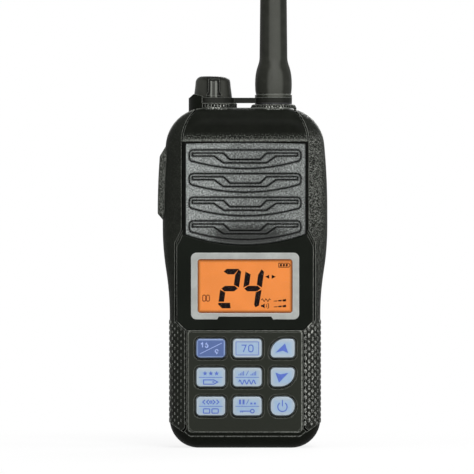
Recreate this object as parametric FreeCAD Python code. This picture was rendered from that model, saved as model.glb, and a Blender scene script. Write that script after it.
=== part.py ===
import FreeCAD, Part

import math
import os

from FreeCAD import Vector

# A hand-held marine radio, standing on its base. The origin is on the floor under the middle of the body,
# +X is to the right seen from the front, +Y is towards the back and +Z is up. All sizes are millimetres.

# Keys: three columns and three rows
KEY_WIDTH = 11.8
KEY_WIDTH_RIGHT = 9.9
KEY_HEIGHT = 7.8
KEY_COLUMN_GAP = 2.7
KEY_COLUMN_GAP_RIGHT = 3.2
KEY_COLUMN_SHIFT = 0.2
KEY_ROW_GAP = 3.7
KEY_ROW_COUNT = 3

# Body outline, seen from the front: its width and height add up from what the front carries
KEYPAD_SIDE_MARGIN = 3.0
KEYPAD_TOP_MARGIN = 2.75
KEYPAD_BOTTOM_MARGIN = 6.45
CHIN_HEIGHT = 6.3
GRIP_WIDTH = 7.3
CHEST_SPREAD = 2.8
PANEL_GAP = 0.6
PANEL_LOW_MARGIN = 4.25
PANEL_HIGH_MARGIN = 2.35
PLATE_GAP = 5.0
PLATE_LOW_MARGIN = 0.7
PLATE_HIGH_MARGIN = 2.8
HEADER_HEIGHT = 14.1
BASE_CORNER_RADIUS = 11.5
FLARE_START = 53.0
FLARE_LENGTH = 35.0
LEAN_ANGLE = 5.5
LEAN_LENGTH = 26.0
SHOULDER_RADIUS = 16.0

# Body depth, from the flat front to the flat back
FRONT_DEPTH = 20.0
BACK_DEPTH = 20.0
PARTING_Y = 4.0
FRONT_EDGE_RADIUS = 7.0
BACK_EDGE_RADIUS = 5.0
WALL = 2.0
BOND_GAP = 0.05
SEAM_WIDTH = 0.3
SEAM_DEPTH = 0.35

# Grained side grips, moulded over the front casing
GRIP_THICKNESS = 1.6
GRIP_GROOVE = 0.6
GRIP_CHEST_GAP = 1.4
GRIP_DISPLAY_GAP = 1.0
GRIP_KEYPAD_GAP = 1.2
GRIP_TOP_SHIFT = 5.2
GRIP_TOP_CURVE_DROP = 12.6
GRIP_CHIN_RISE = 0.7
GRIP_BOTTOM_RISE = 6.5
GRIP_OVERHANG = 1.0

# Grille plate over the speaker
PLATE_SIDE_MARGIN = 8.9
PLATE_SAG = 4.2
PLATE_CROWN = 0.4
PLATE_THICKNESS = 1.7
PLATE_PROUD = 0.4
PLATE_BEVEL = 0.35
PLATE_FIT = 0.2
HEADER_RIDGE_HEIGHT = 1.0
HEADER_RIDGE_PROUD = 0.4

# Louvre motif: an outer loop groove round a stepped bar, four times down the plate
LOUVRE_COUNT = 4
LOUVRE_PITCH = 9.4
LOUVRE_SIDE_MARGIN = 1.7
LOUVRE_END_HEIGHT = 4.6
LOUVRE_BELLY = 7.4
LOUVRE_CORNER_RADIUS = 1.7
GROOVE_WIDTH = 0.5
GROOVE_DEPTH = 0.8
BAR_END_GAP = 1.2
BAR_UPPER_DROP = 1.25
BAR_LOWER_DROP = 2.4
BAR_UPPER_STEP = 2.55
BAR_LOWER_STEP = 2.75
BAR_UPPER_OUTER = 8.6
BAR_UPPER_INNER = 6.0
BAR_LOWER_OUTER = 12.4
BAR_LOWER_INNER = 8.5

# Speaker and microphone
SPEAKER_DROP = 17.3
SPEAKER_RADIUS = 18.0
SPEAKER_FLANGE = 1.2
SPEAKER_DEPTH = 7.0
SPEAKER_MAGNET_RADIUS = 9.0
SPEAKER_MAGNET_DEPTH = 4.0
SPEAKER_CONE_THICKNESS = 0.4
SPEAKER_OPENING_RADIUS = 16.0
MESH_THICKNESS = 0.3
MICROPHONE_SIDE_MARGIN = 4.5
MICROPHONE_LOW_MARGIN = 4.4
MICROPHONE_RADIUS = 3.0
MICROPHONE_BEVEL = 0.3
MICROPHONE_PORT_RADIUS = 0.8

# Display panel, frame, window and liquid crystal display
PANEL_SIDE_MARGIN = 5.9
PANEL_SHOULDER = 0.7
PANEL_CHAMFER = 3.5
PANEL_CHAMFER_RUN = 3.7
PANEL_THICKNESS = 2.0
PANEL_PROUD = 0.6
PANEL_BEVEL = 0.4
FRAME_WIDTH = 43.0
FRAME_HEIGHT = 26.5
FRAME_CORNER = 2.2
FRAME_THICKNESS = 1.0
FRAME_PROUD = 0.2
FRAME_NOTCH_HALF_WIDTH = 10.4
FRAME_NOTCH_HEIGHT = 1.1
FRAME_NOTCH_SLOPE = 0.7
SIGHT_WIDTH = 37.7
SIGHT_HEIGHT = 21.4
SIGHT_CORNER = 1.2
WINDOW_LIP = 1.15
WINDOW_THICKNESS = 0.9
DISPLAY_WIDTH = 42.0
DISPLAY_HEIGHT = 26.0
DISPLAY_GLASS = 1.4
SEGMENT_THICKNESS = 0.06
BACKLIGHT_THICKNESS = 2.0
HOLDER_WALL = 1.6
FIT = 0.1

# Two seven-segment figures, leaning to the right
DIGIT_HEIGHT = 15.7
DIGIT_WIDTH = 7.4
DIGIT_STROKE = 2.2
DIGIT_SLANT = 0.135
DIGIT_GAP = 0.42
DIGIT_SHIFT = -1.6
DIGIT_PITCH = 9.1
DIGIT_DROP = 1.0
DIGIT_SHOWN = ("abged", "fbgc")

# Keypad
KEYPAD_CORNER = 3.0
KEYPAD_PROUD = 0.35
KEY_CORNER = 1.7
KEY_CORNER_SWEPT = 6.0
KEY_CORNER_POWER_LEFT = 2.9
KEY_CORNER_POWER_RIGHT = 3.8
KEY_PROUD = 1.0
KEY_EDGE = 0.55
KEY_CLEARANCE = 0.2
KEY_WELL = 0.65
KEY_WELL_DEPTH = 0.75
KEY_WELL_BEVEL = 0.3
KEY_FLANGE = 0.45
KEY_FLANGE_THICKNESS = 0.9
KEY_TRAVEL = 0.6
KEY_PLUNGER_RADIUS = 1.7
MAT_THICKNESS = 1.3
MAT_BORDER = 0.8
DOME_RADIUS = 2.4
DOME_TOP_RADIUS = 1.4
DOME_HEIGHT = 0.3

# Main board, chassis and their screws
BOARD_GAP = 3.1
BOARD_THICKNESS = 1.2
BOARD_SIDE_MARGIN = 6.0
BOARD_BOTTOM = 9.0
BOARD_TOP_MARGIN = 6.9
BOARD_SCREW_MARGIN = 1.0
BOARD_SPEAKER_CLEARANCE = 0.4
CHASSIS_GAP = 5.0
CHASSIS_PLATE_THICKNESS = 2.0
CHASSIS_WALL = 1.4
CHASSIS_CLEARANCE = 0.15
CHASSIS_BOSS_RADIUS = 2.4
BOARD_SCREW_EDGE = 2.4
BOARD_SCREW_RISES = (10.0, 32.0, 68.0)
BOARD_SCREW_TOP_X = 3.6
BOARD_SCREW_TOP_GAP = 3.6
BOARD_SCREW_RADIUS = 0.9
BOARD_SCREW_HEAD_RADIUS = 1.7
BOARD_SCREW_HEAD = 0.9
BOARD_SCREW_LENGTH = 5.0
SHIELD_HEIGHT = 3.4
SHIELD_MARGIN = 2.0
SHIELD_GAP = 3.0
SHIELD_LOWER_HEIGHT = 22.0
SHIELD_UPPER_HEIGHT = 30.0
SHIELD_WALL = 0.4

# Screws that hold the rear casing
CASING_SCREW_LOW_MARGIN = 5.2
CASING_SCREW_LOW_Z = 14.0
CASING_SCREW_HIGH_MARGIN = 10.0
CASING_SCREW_HIGH_DROP = 13.4
CASING_SCREW_RADIUS = 1.25
CASING_SCREW_LENGTH = 11.0
CASING_HEAD_RADIUS = 2.3
CASING_HEAD_HEIGHT = 1.5
CASING_BOSS_RADIUS = 3.0
SCREW_FIT = 0.15
RECESS_DEPTH = 0.8
RECESS_WIDTH = 0.7

# Rear casing with the battery bay
BAY_FLOOR = 2.4
TOP_BLOCK_HEIGHT = 31.4
BAY_BOTTOM = 8.0
RIB_X = 12.0
RIB_WIDTH = 1.5
RIB_LOW_MARGIN = 12.0
RIB_HIGH_MARGIN = 24.0
BLOCK_FLOOR = 4.4
BLOCK_CHAMFER = 1.0
GASKET_INSET = 2.2
GASKET_WIDTH = 0.9
GASKET_THICKNESS = 0.8
HEAT_FIN_COUNT = 7
HEAT_FIN_PITCH = 3.0
HEAT_FIN_WIDTH = 1.2
HEAT_FIN_DEPTH = 0.8
HEAT_FIN_LENGTH = 30.0

# Battery pack
BATTERY_GAP = 0.2
BATTERY_INSET = 0.3
BATTERY_TOP_GAP = 0.5
BATTERY_BOTTOM_GAP = 0.6
BATTERY_WALL = 1.4
BATTERY_SPLIT = 3.6
BATTERY_TOP_CHAMFER = 1.2
BATTERY_BOTTOM_CHAMFER = 0.8
CELL_SIDE_ROOM = 6.3
CELL_HEADROOM = 12.3
CELL_ROOM = 0.25
CELL_COUNT = 2
CELL_GAP = 0.6
CELL_CORNER = 3.0
HOOK_X = 14.0
HOOK_LENGTH = 8.0
HOOK_RADIUS = 1.4
HOOK_NECK = 1.8
HOOK_BACK_MARGIN = 3.5
HOOK_RISE = 1.4
HOOK_CLEARANCE = 0.35
CONTACT_COUNT = 3
CONTACT_PITCH = 7.0
CONTACT_WIDTH = 3.6
CONTACT_HEIGHT = 7.0
CONTACT_THICKNESS = 0.4
CONTACT_DROP = 14.0
TERMINAL_MARGIN = 1.6
SPRING_LEAF = 0.3
CHARGE_PAD_Z = 16.0
CHARGE_PAD_X = 9.0
CHARGE_PAD_RADIUS = 2.2
CHARGE_PAD_DEPTH = 0.6
LABEL_Z = 36.0
LABEL_WIDTH = 34.0
LABEL_HEIGHT = 24.0
LABEL_CORNER = 2.0
LABEL_DEPTH = 0.25

# Battery latch in the foot
LATCH_HALF_WIDTH = 6.0
LATCH_TRAVEL = 1.6
LATCH_FLOOR = 1.6
LATCH_BLOCK_TOP = 6.2
LATCH_TOOTH_TOP = 7.9
LATCH_TOOTH_DEPTH = 1.4
LATCH_BACK_MARGIN = 0.8
LATCH_GRIP_PROUD = 1.1
LATCH_GRIP_RIBS = 3
CATCH_BACK_MARGIN = 5.0
CATCH_THICKNESS = 0.9
CATCH_HALF_WIDTH = 7.5
CATCH_DROP = 2.0
LATCH_GAP = 0.2
LATCH_SPRING_RADIUS = 1.0
LATCH_SPRING_WIRE = 0.3
LATCH_SPRING_TURNS = 5

# Belt clip on the battery
CLIP_PIVOT_DROP = 16.0
CLIP_PIVOT_OUT = 3.8
CLIP_PIN_RADIUS = 1.0
CLIP_PIN_FIT = 0.06
CLIP_GAP = 6.1
CLIP_THICKNESS = 2.2
CLIP_HALF_WIDTH = 9.5
CLIP_LENGTH = 47.0
CLIP_THUMB = 10.0
CLIP_TIP = 5.0
CLIP_EAR = 2.0
BRACKET_HALF_WIDTH = 10.5
BRACKET_THICKNESS = 1.6
BRACKET_HEIGHT = 17.0
BRACKET_EAR = 1.8
BRACKET_EAR_RADIUS = 2.0
BRACKET_EAR_GAP = 0.2
CLIP_SCREW_X = 6.4
CLIP_SCREW_RISE = 4.5
CLIP_SCREW_RADIUS = 1.1
CLIP_SCREW_HEAD_RADIUS = 2.0
CLIP_SCREW_HEAD = 1.0
CLIP_SCREW_LENGTH = 3.0
CLIP_SPRING_WIRE = 0.8
CLIP_SPRING_TURNS = 4.5
CLIP_SPRING_PITCH = 1.35
CLIP_SPRING_LEG = 5.0

# Push-to-talk pad on the left side
TALK_FRONT_MARGIN = 4.2
TALK_BACK_MARGIN = 6.2
TALK_HEIGHT = 29.1
TALK_DROP = 1.4
TALK_SLOPE_TOP = 3.4
TALK_SLOPE_BOTTOM = 2.4
TALK_CORNER = 4.0
TALK_PROUD = 2.0
TALK_EDGE = 0.9
TALK_CLEARANCE = 0.25
TALK_DEPTH = 2.6
TALK_FLANGE = 0.8
TALK_TRAVEL = 1.0
TALK_SWITCH_SIZE = 6.0
TALK_SWITCH_HEIGHT = 5.2
TALK_SWITCH_BUTTON_RADIUS = 1.6
TALK_SWITCH_BUTTON = 0.8

# Bosses, jack and cap, antenna and tether on the top
TOP_AXIS_DEPTH = 14.0
JACK_X = -12.8
JACK_BOSS_RADIUS = 9.6
ANTENNA_X = 11.35
ANTENNA_BOSS_RADIUS = 9.2
ANTENNA_BOSS_TAPER = 0.7
BOSS_HEIGHT = 1.4
BOSS_EDGE = 0.3
BOSS_KNURLS = 48
BOSS_KNURL_DEPTH = 0.45
LOOP_HEIGHT = 2.1
LOOP_FIT = 0.05
CAP_LOOP_RADIUS = 8.75
CAP_LOOP_BORE = 4.9
ANTENNA_LOOP_BORE = 3.4
STRAP_DEPTH = 4.6
GUARD_RADIUS = 9.7
GUARD_THICKNESS = 0.85
GUARD_SIDE_HEIGHT = 4.0
GUARD_PEAK_HEIGHT = 5.4
GUARD_PEAK_INSET = 1.9
GUARD_PEAK_WIDTH = 0.9
GUARD_END_HEIGHT = 3.4
GUARD_FROM = 130.0
GUARD_TO = 244.0

CAP_SKIRT_RADIUS = 7.6
CAP_WAIST_RADIUS = 7.05
CAP_HEIGHT = 8.5
CAP_CROWN_RADIUS = 2.6
CAP_CHANNELS = 3
CAP_CHANNEL_WIDTH = 4.4
CAP_CHANNEL_DEPTH = 1.0
CAP_CHANNEL_FLOOR = 0.7
CAP_CHANNEL_TOP = 7.3
CAP_CHANNEL_TURN = 4.0
CAP_RIB_WIDTH = 2.5
CAP_RIB_DEPTH = 0.6
CAP_RIB_TOP = 5.8
CAP_FLARE_RISE = 1.7
CAP_CHANNEL_FLARE = 0.9
CAP_RIB_FLARE = 0.45
CAP_SHANK_RADIUS = 4.45
CAP_SHANK_LENGTH = 6.0
SEAL_WIRE_RADIUS = 0.45
SEAL_RISE = 1.6
SOCKET_FIT = 0.1
JACK_SOCKET_WALL = 1.4
JACK_SOCKET_DEPTH = 8.0
JACK_BODY_DEPTH = 9.0
JACK_BORE_RADIUS = 1.8

ANTENNA_COLLAR_RADIUS = 7.4
ANTENNA_FLANGE = 0.5
ANTENNA_POST_RADIUS = 3.15
ANTENNA_POST_HEIGHT = 7.0
ANTENNA_SHANK_RADIUS = 4.0
ANTENNA_SHANK_DEPTH = 7.0
ANTENNA_SEAL_WIRE_RADIUS = 0.5
ANTENNA_NECK_RADIUS = 6.95
ANTENNA_NECK_HEIGHT = 0.5
ANTENNA_COLLAR_HEIGHT = 1.1
ANTENNA_FERRULE_RADIUS = 4.4
ANTENNA_FERRULE_HEIGHT = 17.0
ANTENNA_FOOT_RADIUS = 7.1
ANTENNA_BELLY_RADIUS = 7.35
ANTENNA_BELLY_RISE = 3.8
ANTENNA_TAPER_RISE = 14.6
ANTENNA_SHAFT_RADIUS = 5.55
ANTENNA_TIP_RADIUS = 4.1
ANTENNA_LENGTH = 158.0
ANTENNA_CORE_RADIUS = 1.9
ANTENNA_COIL_WIRE = 0.8
ANTENNA_COIL_TURNS = 20

# Widths worked out from the sizes above
KEY_SPAN = 2 * KEY_WIDTH + KEY_WIDTH_RIGHT + KEY_COLUMN_GAP + KEY_COLUMN_GAP_RIGHT
KEY_LEFT = KEY_COLUMN_SHIFT - KEY_SPAN / 2
KEY_COLUMNS = (KEY_LEFT + KEY_WIDTH / 2, KEY_LEFT + 1.5 * KEY_WIDTH + KEY_COLUMN_GAP,
               KEY_LEFT + KEY_SPAN - KEY_WIDTH_RIGHT / 2)
KEYPAD_HALF_WIDTH = KEY_SPAN / 2 + KEYPAD_SIDE_MARGIN
BASE_HALF_WIDTH = KEYPAD_HALF_WIDTH + GRIP_WIDTH
CHEST_HALF_WIDTH = BASE_HALF_WIDTH + CHEST_SPREAD
PLATE_HALF_WIDTH = CHEST_HALF_WIDTH - PLATE_SIDE_MARGIN
PANEL_HALF_WIDTH = CHEST_HALF_WIDTH - PANEL_SIDE_MARGIN
PANEL_SHOULDER_HALF_WIDTH = PLATE_HALF_WIDTH + PANEL_SHOULDER
PANEL_BOTTOM_HALF_WIDTH = PANEL_HALF_WIDTH - PANEL_CHAMFER_RUN
GRIP_EDGE_CHEST = PLATE_HALF_WIDTH + GRIP_CHEST_GAP
GRIP_EDGE_DISPLAY = PANEL_HALF_WIDTH + GRIP_DISPLAY_GAP
GRIP_EDGE_KEYPAD = KEYPAD_HALF_WIDTH + GRIP_KEYPAD_GAP
GRIP_EDGE_TOP = GRIP_EDGE_CHEST - GRIP_TOP_SHIFT
LOUVRE_HALF_WIDTH = PLATE_HALF_WIDTH - LOUVRE_SIDE_MARGIN
BAR_END = LOUVRE_HALF_WIDTH - BAR_END_GAP
MICROPHONE_X = PLATE_HALF_WIDTH - MICROPHONE_SIDE_MARGIN
CASING_SCREW_LOW_X = BASE_HALF_WIDTH - CASING_SCREW_LOW_MARGIN
CASING_SCREW_HIGH_X = CHEST_HALF_WIDTH - CASING_SCREW_HIGH_MARGIN
BOARD_HALF_WIDTH = BASE_HALF_WIDTH - BOARD_SIDE_MARGIN
BOARD_LOWER_HALF_WIDTH = CASING_SCREW_LOW_X - CASING_BOSS_RADIUS - BOARD_SCREW_MARGIN
BOARD_UPPER_HALF_WIDTH = CASING_SCREW_HIGH_X - CASING_BOSS_RADIUS - BOARD_SCREW_MARGIN
CELL_WIDTH = 2 * (BASE_HALF_WIDTH - BATTERY_INSET - BATTERY_WALL - CELL_SIDE_ROOM)
TALK_INNER_X = CASING_SCREW_HIGH_X + CASING_BOSS_RADIUS + TALK_TRAVEL + FIT

# Heights worked out from the sizes above, from the base up
KEYPAD_BOTTOM = CHIN_HEIGHT
KEY_ROW_PITCH = KEY_HEIGHT + KEY_ROW_GAP
KEY_ROW_LOW = KEYPAD_BOTTOM + KEYPAD_BOTTOM_MARGIN + KEY_HEIGHT / 2
KEY_ROWS = tuple(KEY_ROW_LOW + row * KEY_ROW_PITCH for row in reversed(range(KEY_ROW_COUNT)))
KEYPAD_TOP = KEY_ROWS[0] + KEY_HEIGHT / 2 + KEYPAD_TOP_MARGIN
PANEL_BOTTOM = KEYPAD_TOP + PANEL_GAP
PANEL_CHAMFER_TOP = PANEL_BOTTOM + PANEL_CHAMFER
DISPLAY_Z = PANEL_BOTTOM + PANEL_LOW_MARGIN + FRAME_HEIGHT / 2
PANEL_TOP = DISPLAY_Z + FRAME_HEIGHT / 2 + PANEL_HIGH_MARGIN
DIGIT_Z = DISPLAY_Z - DIGIT_DROP
PLATE_SIDE_BOTTOM = PANEL_TOP + PLATE_GAP
LOUVRE_TOP = PLATE_SIDE_BOTTOM + PLATE_LOW_MARGIN + LOUVRE_END_HEIGHT + (LOUVRE_COUNT - 1) * LOUVRE_PITCH
PLATE_TOP = LOUVRE_TOP + PLATE_HIGH_MARGIN
BODY_HEIGHT = PLATE_TOP + HEADER_HEIGHT
SPEAKER_HEIGHT = PLATE_TOP - SPEAKER_DROP
MICROPHONE_Z = PLATE_SIDE_BOTTOM + MICROPHONE_LOW_MARGIN
GRIP_TOP_CURVE_START = BODY_HEIGHT - GRIP_TOP_CURVE_DROP
GRIP_BOTTOM_HEIGHT = CHIN_HEIGHT + GRIP_CHIN_RISE
CASING_SCREW_HIGH_Z = BODY_HEIGHT - CASING_SCREW_HIGH_DROP
BOARD_TOP = BODY_HEIGHT - BOARD_TOP_MARGIN
BOARD_LOWER_STEP = CASING_SCREW_LOW_Z + CASING_BOSS_RADIUS + BOARD_SCREW_MARGIN
BOARD_UPPER_STEP = CASING_SCREW_HIGH_Z - CASING_BOSS_RADIUS - BOARD_SCREW_MARGIN
BAY_TOP = BODY_HEIGHT - TOP_BLOCK_HEIGHT
CONTACT_Z = BAY_TOP - CONTACT_DROP
CLIP_PIVOT_Z = BAY_TOP - CLIP_PIVOT_DROP
TALK_TOP = PLATE_TOP - TALK_DROP
TALK_BOTTOM = TALK_TOP - TALK_HEIGHT

# Depths and other levels worked out from the sizes above
FRONT_Y = -FRONT_DEPTH
BACK_Y = BACK_DEPTH
TOP_Y = FRONT_Y + TOP_AXIS_DEPTH
CHASSIS_PLATE_Y = PARTING_Y - CHASSIS_GAP
TALK_FRONT_Y = FRONT_Y + TALK_FRONT_MARGIN
TALK_BACK_Y = PARTING_Y - TALK_BACK_MARGIN
HOOK_Y = BACK_Y - HOOK_BACK_MARGIN
CATCH_Y = BACK_Y - CATCH_BACK_MARGIN
LATCH_BACK = BACK_Y - LATCH_BACK_MARGIN
CAVITY = GRIP_THICKNESS + WALL
INNER_FRONT_Y = FRONT_Y + CAVITY
BOARD_Y = INNER_FRONT_Y + BOARD_GAP
BOARD_BACK_Y = BOARD_Y + BOARD_THICKNESS
BAY_FLOOR_Y = PARTING_Y + BAY_FLOOR
BATTERY_FRONT_Y = BAY_FLOOR_Y + BATTERY_GAP
BATTERY_TOP = BAY_TOP - BATTERY_TOP_GAP
BATTERY_BOTTOM = BAY_BOTTOM + BATTERY_BOTTOM_GAP
BATTERY_BACK_Y = BACK_Y - BATTERY_INSET
CELL_DEPTH = BATTERY_BACK_Y - BATTERY_FRONT_Y - 2 * (BATTERY_WALL + CELL_ROOM)
CELL_ROW = BATTERY_TOP - BATTERY_BOTTOM - 2 * BATTERY_WALL - CELL_GAP - CELL_HEADROOM
CELL_HEIGHT = CELL_ROW / CELL_COUNT - CELL_GAP
HOOK_Z = BATTERY_TOP + HOOK_RISE
BOSS_TOP = BODY_HEIGHT + BOSS_HEIGHT
JACK_BOSS_TOP = BOSS_TOP + ANTENNA_FLANGE
LOOP_BOTTOM = JACK_BOSS_TOP + LOOP_FIT
LOOP_TOP = LOOP_BOTTOM + LOOP_HEIGHT
CAP_BOTTOM = LOOP_TOP + LOOP_FIT
COLLAR_TOP = CAP_BOTTOM + ANTENNA_COLLAR_HEIGHT
SLEEVE_BOTTOM = COLLAR_TOP + ANTENNA_NECK_HEIGHT
PANEL_BACK_Y = FRONT_Y - PANEL_PROUD + PANEL_THICKNESS
PLATE_BACK_Y = FRONT_Y - PLATE_PROUD + PLATE_THICKNESS
KEYPAD_Y = FRONT_Y - KEYPAD_PROUD
KEY_FRONT_Y = KEYPAD_Y - KEY_PROUD
PIVOT_Y = BATTERY_BACK_Y + CLIP_PIVOT_OUT
SCREW_SIDES = (-1, 1)
FAR = 200.0


# General shapes

def box(x0, x1, y0, y1, z0, z1):
    """A box between two values on each axis."""
    return Part.makeBox(x1 - x0, y1 - y0, z1 - z0, Vector(x0, y0, z0))


def rod(radius, start, direction, length):
    """A round rod from a start point along a direction."""
    return Part.makeCylinder(radius, length, Vector(*start), Vector(*direction))


def tube(outer, inner, start, direction, length):
    """A round tube from a start point along a direction."""
    return rod(outer, start, direction, length).cut(rod(inner, start, direction, length))


def mirrored(shape):
    """The shape on the other side of the middle plane."""
    return shape.mirror(Vector(0, 0, 0), Vector(1, 0, 0))


def joined(shapes):
    """Shapes that overlap or touch, as one solid."""
    result = shapes[0].multiFuse(shapes[1:]) if len(shapes) > 1 else shapes[0]
    return result.removeSplitter()


def group(shapes):
    """Separate solids that share one file."""
    return Part.makeCompound(shapes)


def prism(points, y0, y1):
    """A straight prism along Y on a polygon of (x, z) points."""
    corners = [Vector(x, y0, z) for x, z in points]
    return Part.Face(Part.makePolygon(corners + corners[:1])).extrude(Vector(0, y1 - y0, 0))


def stroke(points, width, y0, y1):
    """A band of constant width along an open run of (x, z) points, with round joints."""
    pieces = []
    for (x0, z0), (x1, z1) in zip(points, points[1:]):
        length = math.hypot(x1 - x0, z1 - z0)
        nx, nz = -(z1 - z0) / length * width / 2, (x1 - x0) / length * width / 2
        corners = [(x0 + nx, z0 + nz), (x1 + nx, z1 + nz), (x1 - nx, z1 - nz), (x0 - nx, z0 - nz)]
        pieces.append(prism(corners, y0, y1))
    pieces += [rod(width / 2, (x, y0, z), (0, 1, 0), y1 - y0) for x, z in points]
    return joined(pieces)


def trace(start, heading, moves, y):
    """Edges in the plane at y: ("line", length) or ("arc", radius, turn), where a left turn is positive."""
    x, z = start
    angle = math.radians(heading)
    edges = []
    for move in moves:
        if move[0] == "line":
            nx, nz = x + move[1] * math.cos(angle), z + move[1] * math.sin(angle)
            edges.append(Part.makeLine(Vector(x, y, z), Vector(nx, y, nz)))
        else:
            radius, turn = move[1], math.radians(move[2])
            side = math.copysign(math.pi / 2, turn)
            cx, cz = x + radius * math.cos(angle + side), z + radius * math.sin(angle + side)
            points = [(cx + radius * math.cos(angle + share * turn - side),
                       cz + radius * math.sin(angle + share * turn - side)) for share in (0, 0.5, 1)]
            edges.append(Part.Arc(*[Vector(px, y, pz) for px, pz in points]).toShape())
            nx, nz = points[-1]
            angle += turn
        x, z = nx, nz
    return edges


def rounded(cx, cz, width, height, corners, y0, y1):
    """A prism along Y on a rectangle with its own radius at each corner, from top left and then clockwise."""
    top_left, top_right, bottom_right, bottom_left = corners
    moves = [("line", width - bottom_left - bottom_right), ("arc", bottom_right, 90),
             ("line", height - bottom_right - top_right), ("arc", top_right, 90),
             ("line", width - top_left - top_right), ("arc", top_left, 90),
             ("line", height - top_left - bottom_left), ("arc", bottom_left, 90)]
    start = (cx - width / 2 + bottom_left, cz - height / 2)
    wire = Part.Wire(trace(start, 0, moves, y0))
    return Part.Face(wire).extrude(Vector(0, y1 - y0, 0))


def edges_in_plane(shape, y):
    """The edges that lie wholly in the plane at y."""
    near = 1e-4
    return [e for e in shape.Edges if abs(e.BoundBox.YMin - y) < near and abs(e.BoundBox.YMax - y) < near]


def bevelled(shape, y, size):
    """The shape with a bevel along the edges in the plane at y."""
    return shape.makeChamfer(size, edges_in_plane(shape, y))


def softened(shape, y, radius):
    """The shape with round edges in the plane at y."""
    return shape.makeFillet(radius, edges_in_plane(shape, y))


def biarc(p0, t0, p1, t1):
    """Two arcs that leave p0 along t0, meet smoothly, and reach p1 along t1."""
    chord, tangents = p1 - p0, t0 + t1
    a = tangents.dot(tangents) - 4
    b = chord.dot(tangents)
    reach = (b - math.sqrt(b * b - a * chord.dot(chord))) / a
    if reach < 0:
        reach = (b + math.sqrt(b * b - a * chord.dot(chord))) / a
    q0, q1 = p0 + t0 * reach, p1 - t1 * reach
    middle = (q0 + q1) * 0.5
    arcs = []
    for start, control, end in ((p0, q0, middle), (middle, q1, p1)):
        centre = (start + end) * 0.5
        half = (end - start).Length / 2
        rise = math.atan2((control - centre).Length, half)
        top = centre + (control - centre) * (math.tan(rise / 2) / math.tan(rise))
        arcs.append(Part.Arc(start, top, end).toShape())
    return arcs


def coil(base, axis, side, radius, pitch, turns, wire, lead=0.0):
    """A wound wire: one tube on arcs of less than half a turn, with an optional straight lead at each end."""
    along = Vector(*axis)
    u = Vector(*side)
    v = along.cross(u)
    steps = round(turns * 4)
    rise = pitch / (2 * math.pi)
    points, tangents = [], []
    for step in range(steps + 1):
        angle = step * math.pi / 2
        points.append(Vector(*base) + u * (radius * math.cos(angle)) + v * (radius * math.sin(angle))
                      + along * (rise * angle))
        tangent = v * (radius * math.cos(angle)) - u * (radius * math.sin(angle)) + along * rise
        tangents.append(tangent.normalize())
    edges = []
    for k in range(steps):
        edges += biarc(points[k], tangents[k], points[k + 1], tangents[k + 1])
    first, last = points[0], points[-1]
    if lead:
        first = points[0] - tangents[0] * lead
        last = points[-1] + tangents[-1] * lead
        edges = [Part.makeLine(first, points[0])] + edges + [Part.makeLine(points[-1], last)]
    path = Part.Wire(edges)
    profile = Part.Wire(Part.makeCircle(wire / 2, first, tangents[0]))
    tube_shape = path.makePipeShell([profile], True, False)
    return tube_shape


# Body blanks

def outline_edges(inset, y):
    """The front outline of the body, moved inwards by inset, in the plane at y."""
    spread = CHEST_HALF_WIDTH - BASE_HALF_WIDTH
    half_turn = 2 * math.atan2(spread, FLARE_LENGTH)
    flare_radius = FLARE_LENGTH / (2 * math.sin(half_turn))
    turn = math.degrees(half_turn)
    lean_radius = LEAN_LENGTH / math.sin(math.radians(LEAN_ANGLE))
    lean_shift = lean_radius * (1 - math.cos(math.radians(LEAN_ANGLE)))
    shoulder_rise = SHOULDER_RADIUS * (1 - math.sin(math.radians(LEAN_ANGLE)))
    shoulder_run = SHOULDER_RADIUS * math.cos(math.radians(LEAN_ANGLE))
    chest = BODY_HEIGHT - shoulder_rise - LEAN_LENGTH - FLARE_START - FLARE_LENGTH
    base_half = BASE_HALF_WIDTH - BASE_CORNER_RADIUS
    top_half = CHEST_HALF_WIDTH - lean_shift - shoulder_run
    right = [("line", base_half), ("arc", BASE_CORNER_RADIUS - inset, 90),
             ("line", FLARE_START - BASE_CORNER_RADIUS), ("arc", flare_radius + inset, -turn),
             ("arc", flare_radius - inset, turn), ("line", chest), ("arc", lean_radius - inset, LEAN_ANGLE),
             ("arc", SHOULDER_RADIUS - inset, 90 - LEAN_ANGLE), ("line", top_half)]
    return trace((0, inset), 0, right + right[::-1], y)


def blank(inset, y0, y1, front_radius=0.0, back_radius=0.0):
    """The body block between two depths, moved inwards by inset, with round front and back edges."""
    solid = Part.Face(Part.Wire(outline_edges(inset, y0))).extrude(Vector(0, y1 - y0, 0))
    if front_radius > 0:
        solid = softened(solid, y0, front_radius)
    if back_radius > 0:
        solid = softened(solid, y1, back_radius)
    return solid


def front_blank(inset, y1=PARTING_Y):
    """The front half of the body, moved inwards by inset."""
    return blank(inset, FRONT_Y + inset, y1, FRONT_EDGE_RADIUS - inset)


def rear_blank(inset, y0=PARTING_Y):
    """The rear half of the body, moved inwards by inset."""
    return blank(inset, y0, BACK_Y - inset, 0.0, max(BACK_EDGE_RADIUS - inset, 0.4))


def ring(inset, width, y0, y1):
    """A closed band that follows the body outline."""
    return blank(inset, y0, y1).cut(blank(inset + width, y0, y1))


# Side grips

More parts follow.
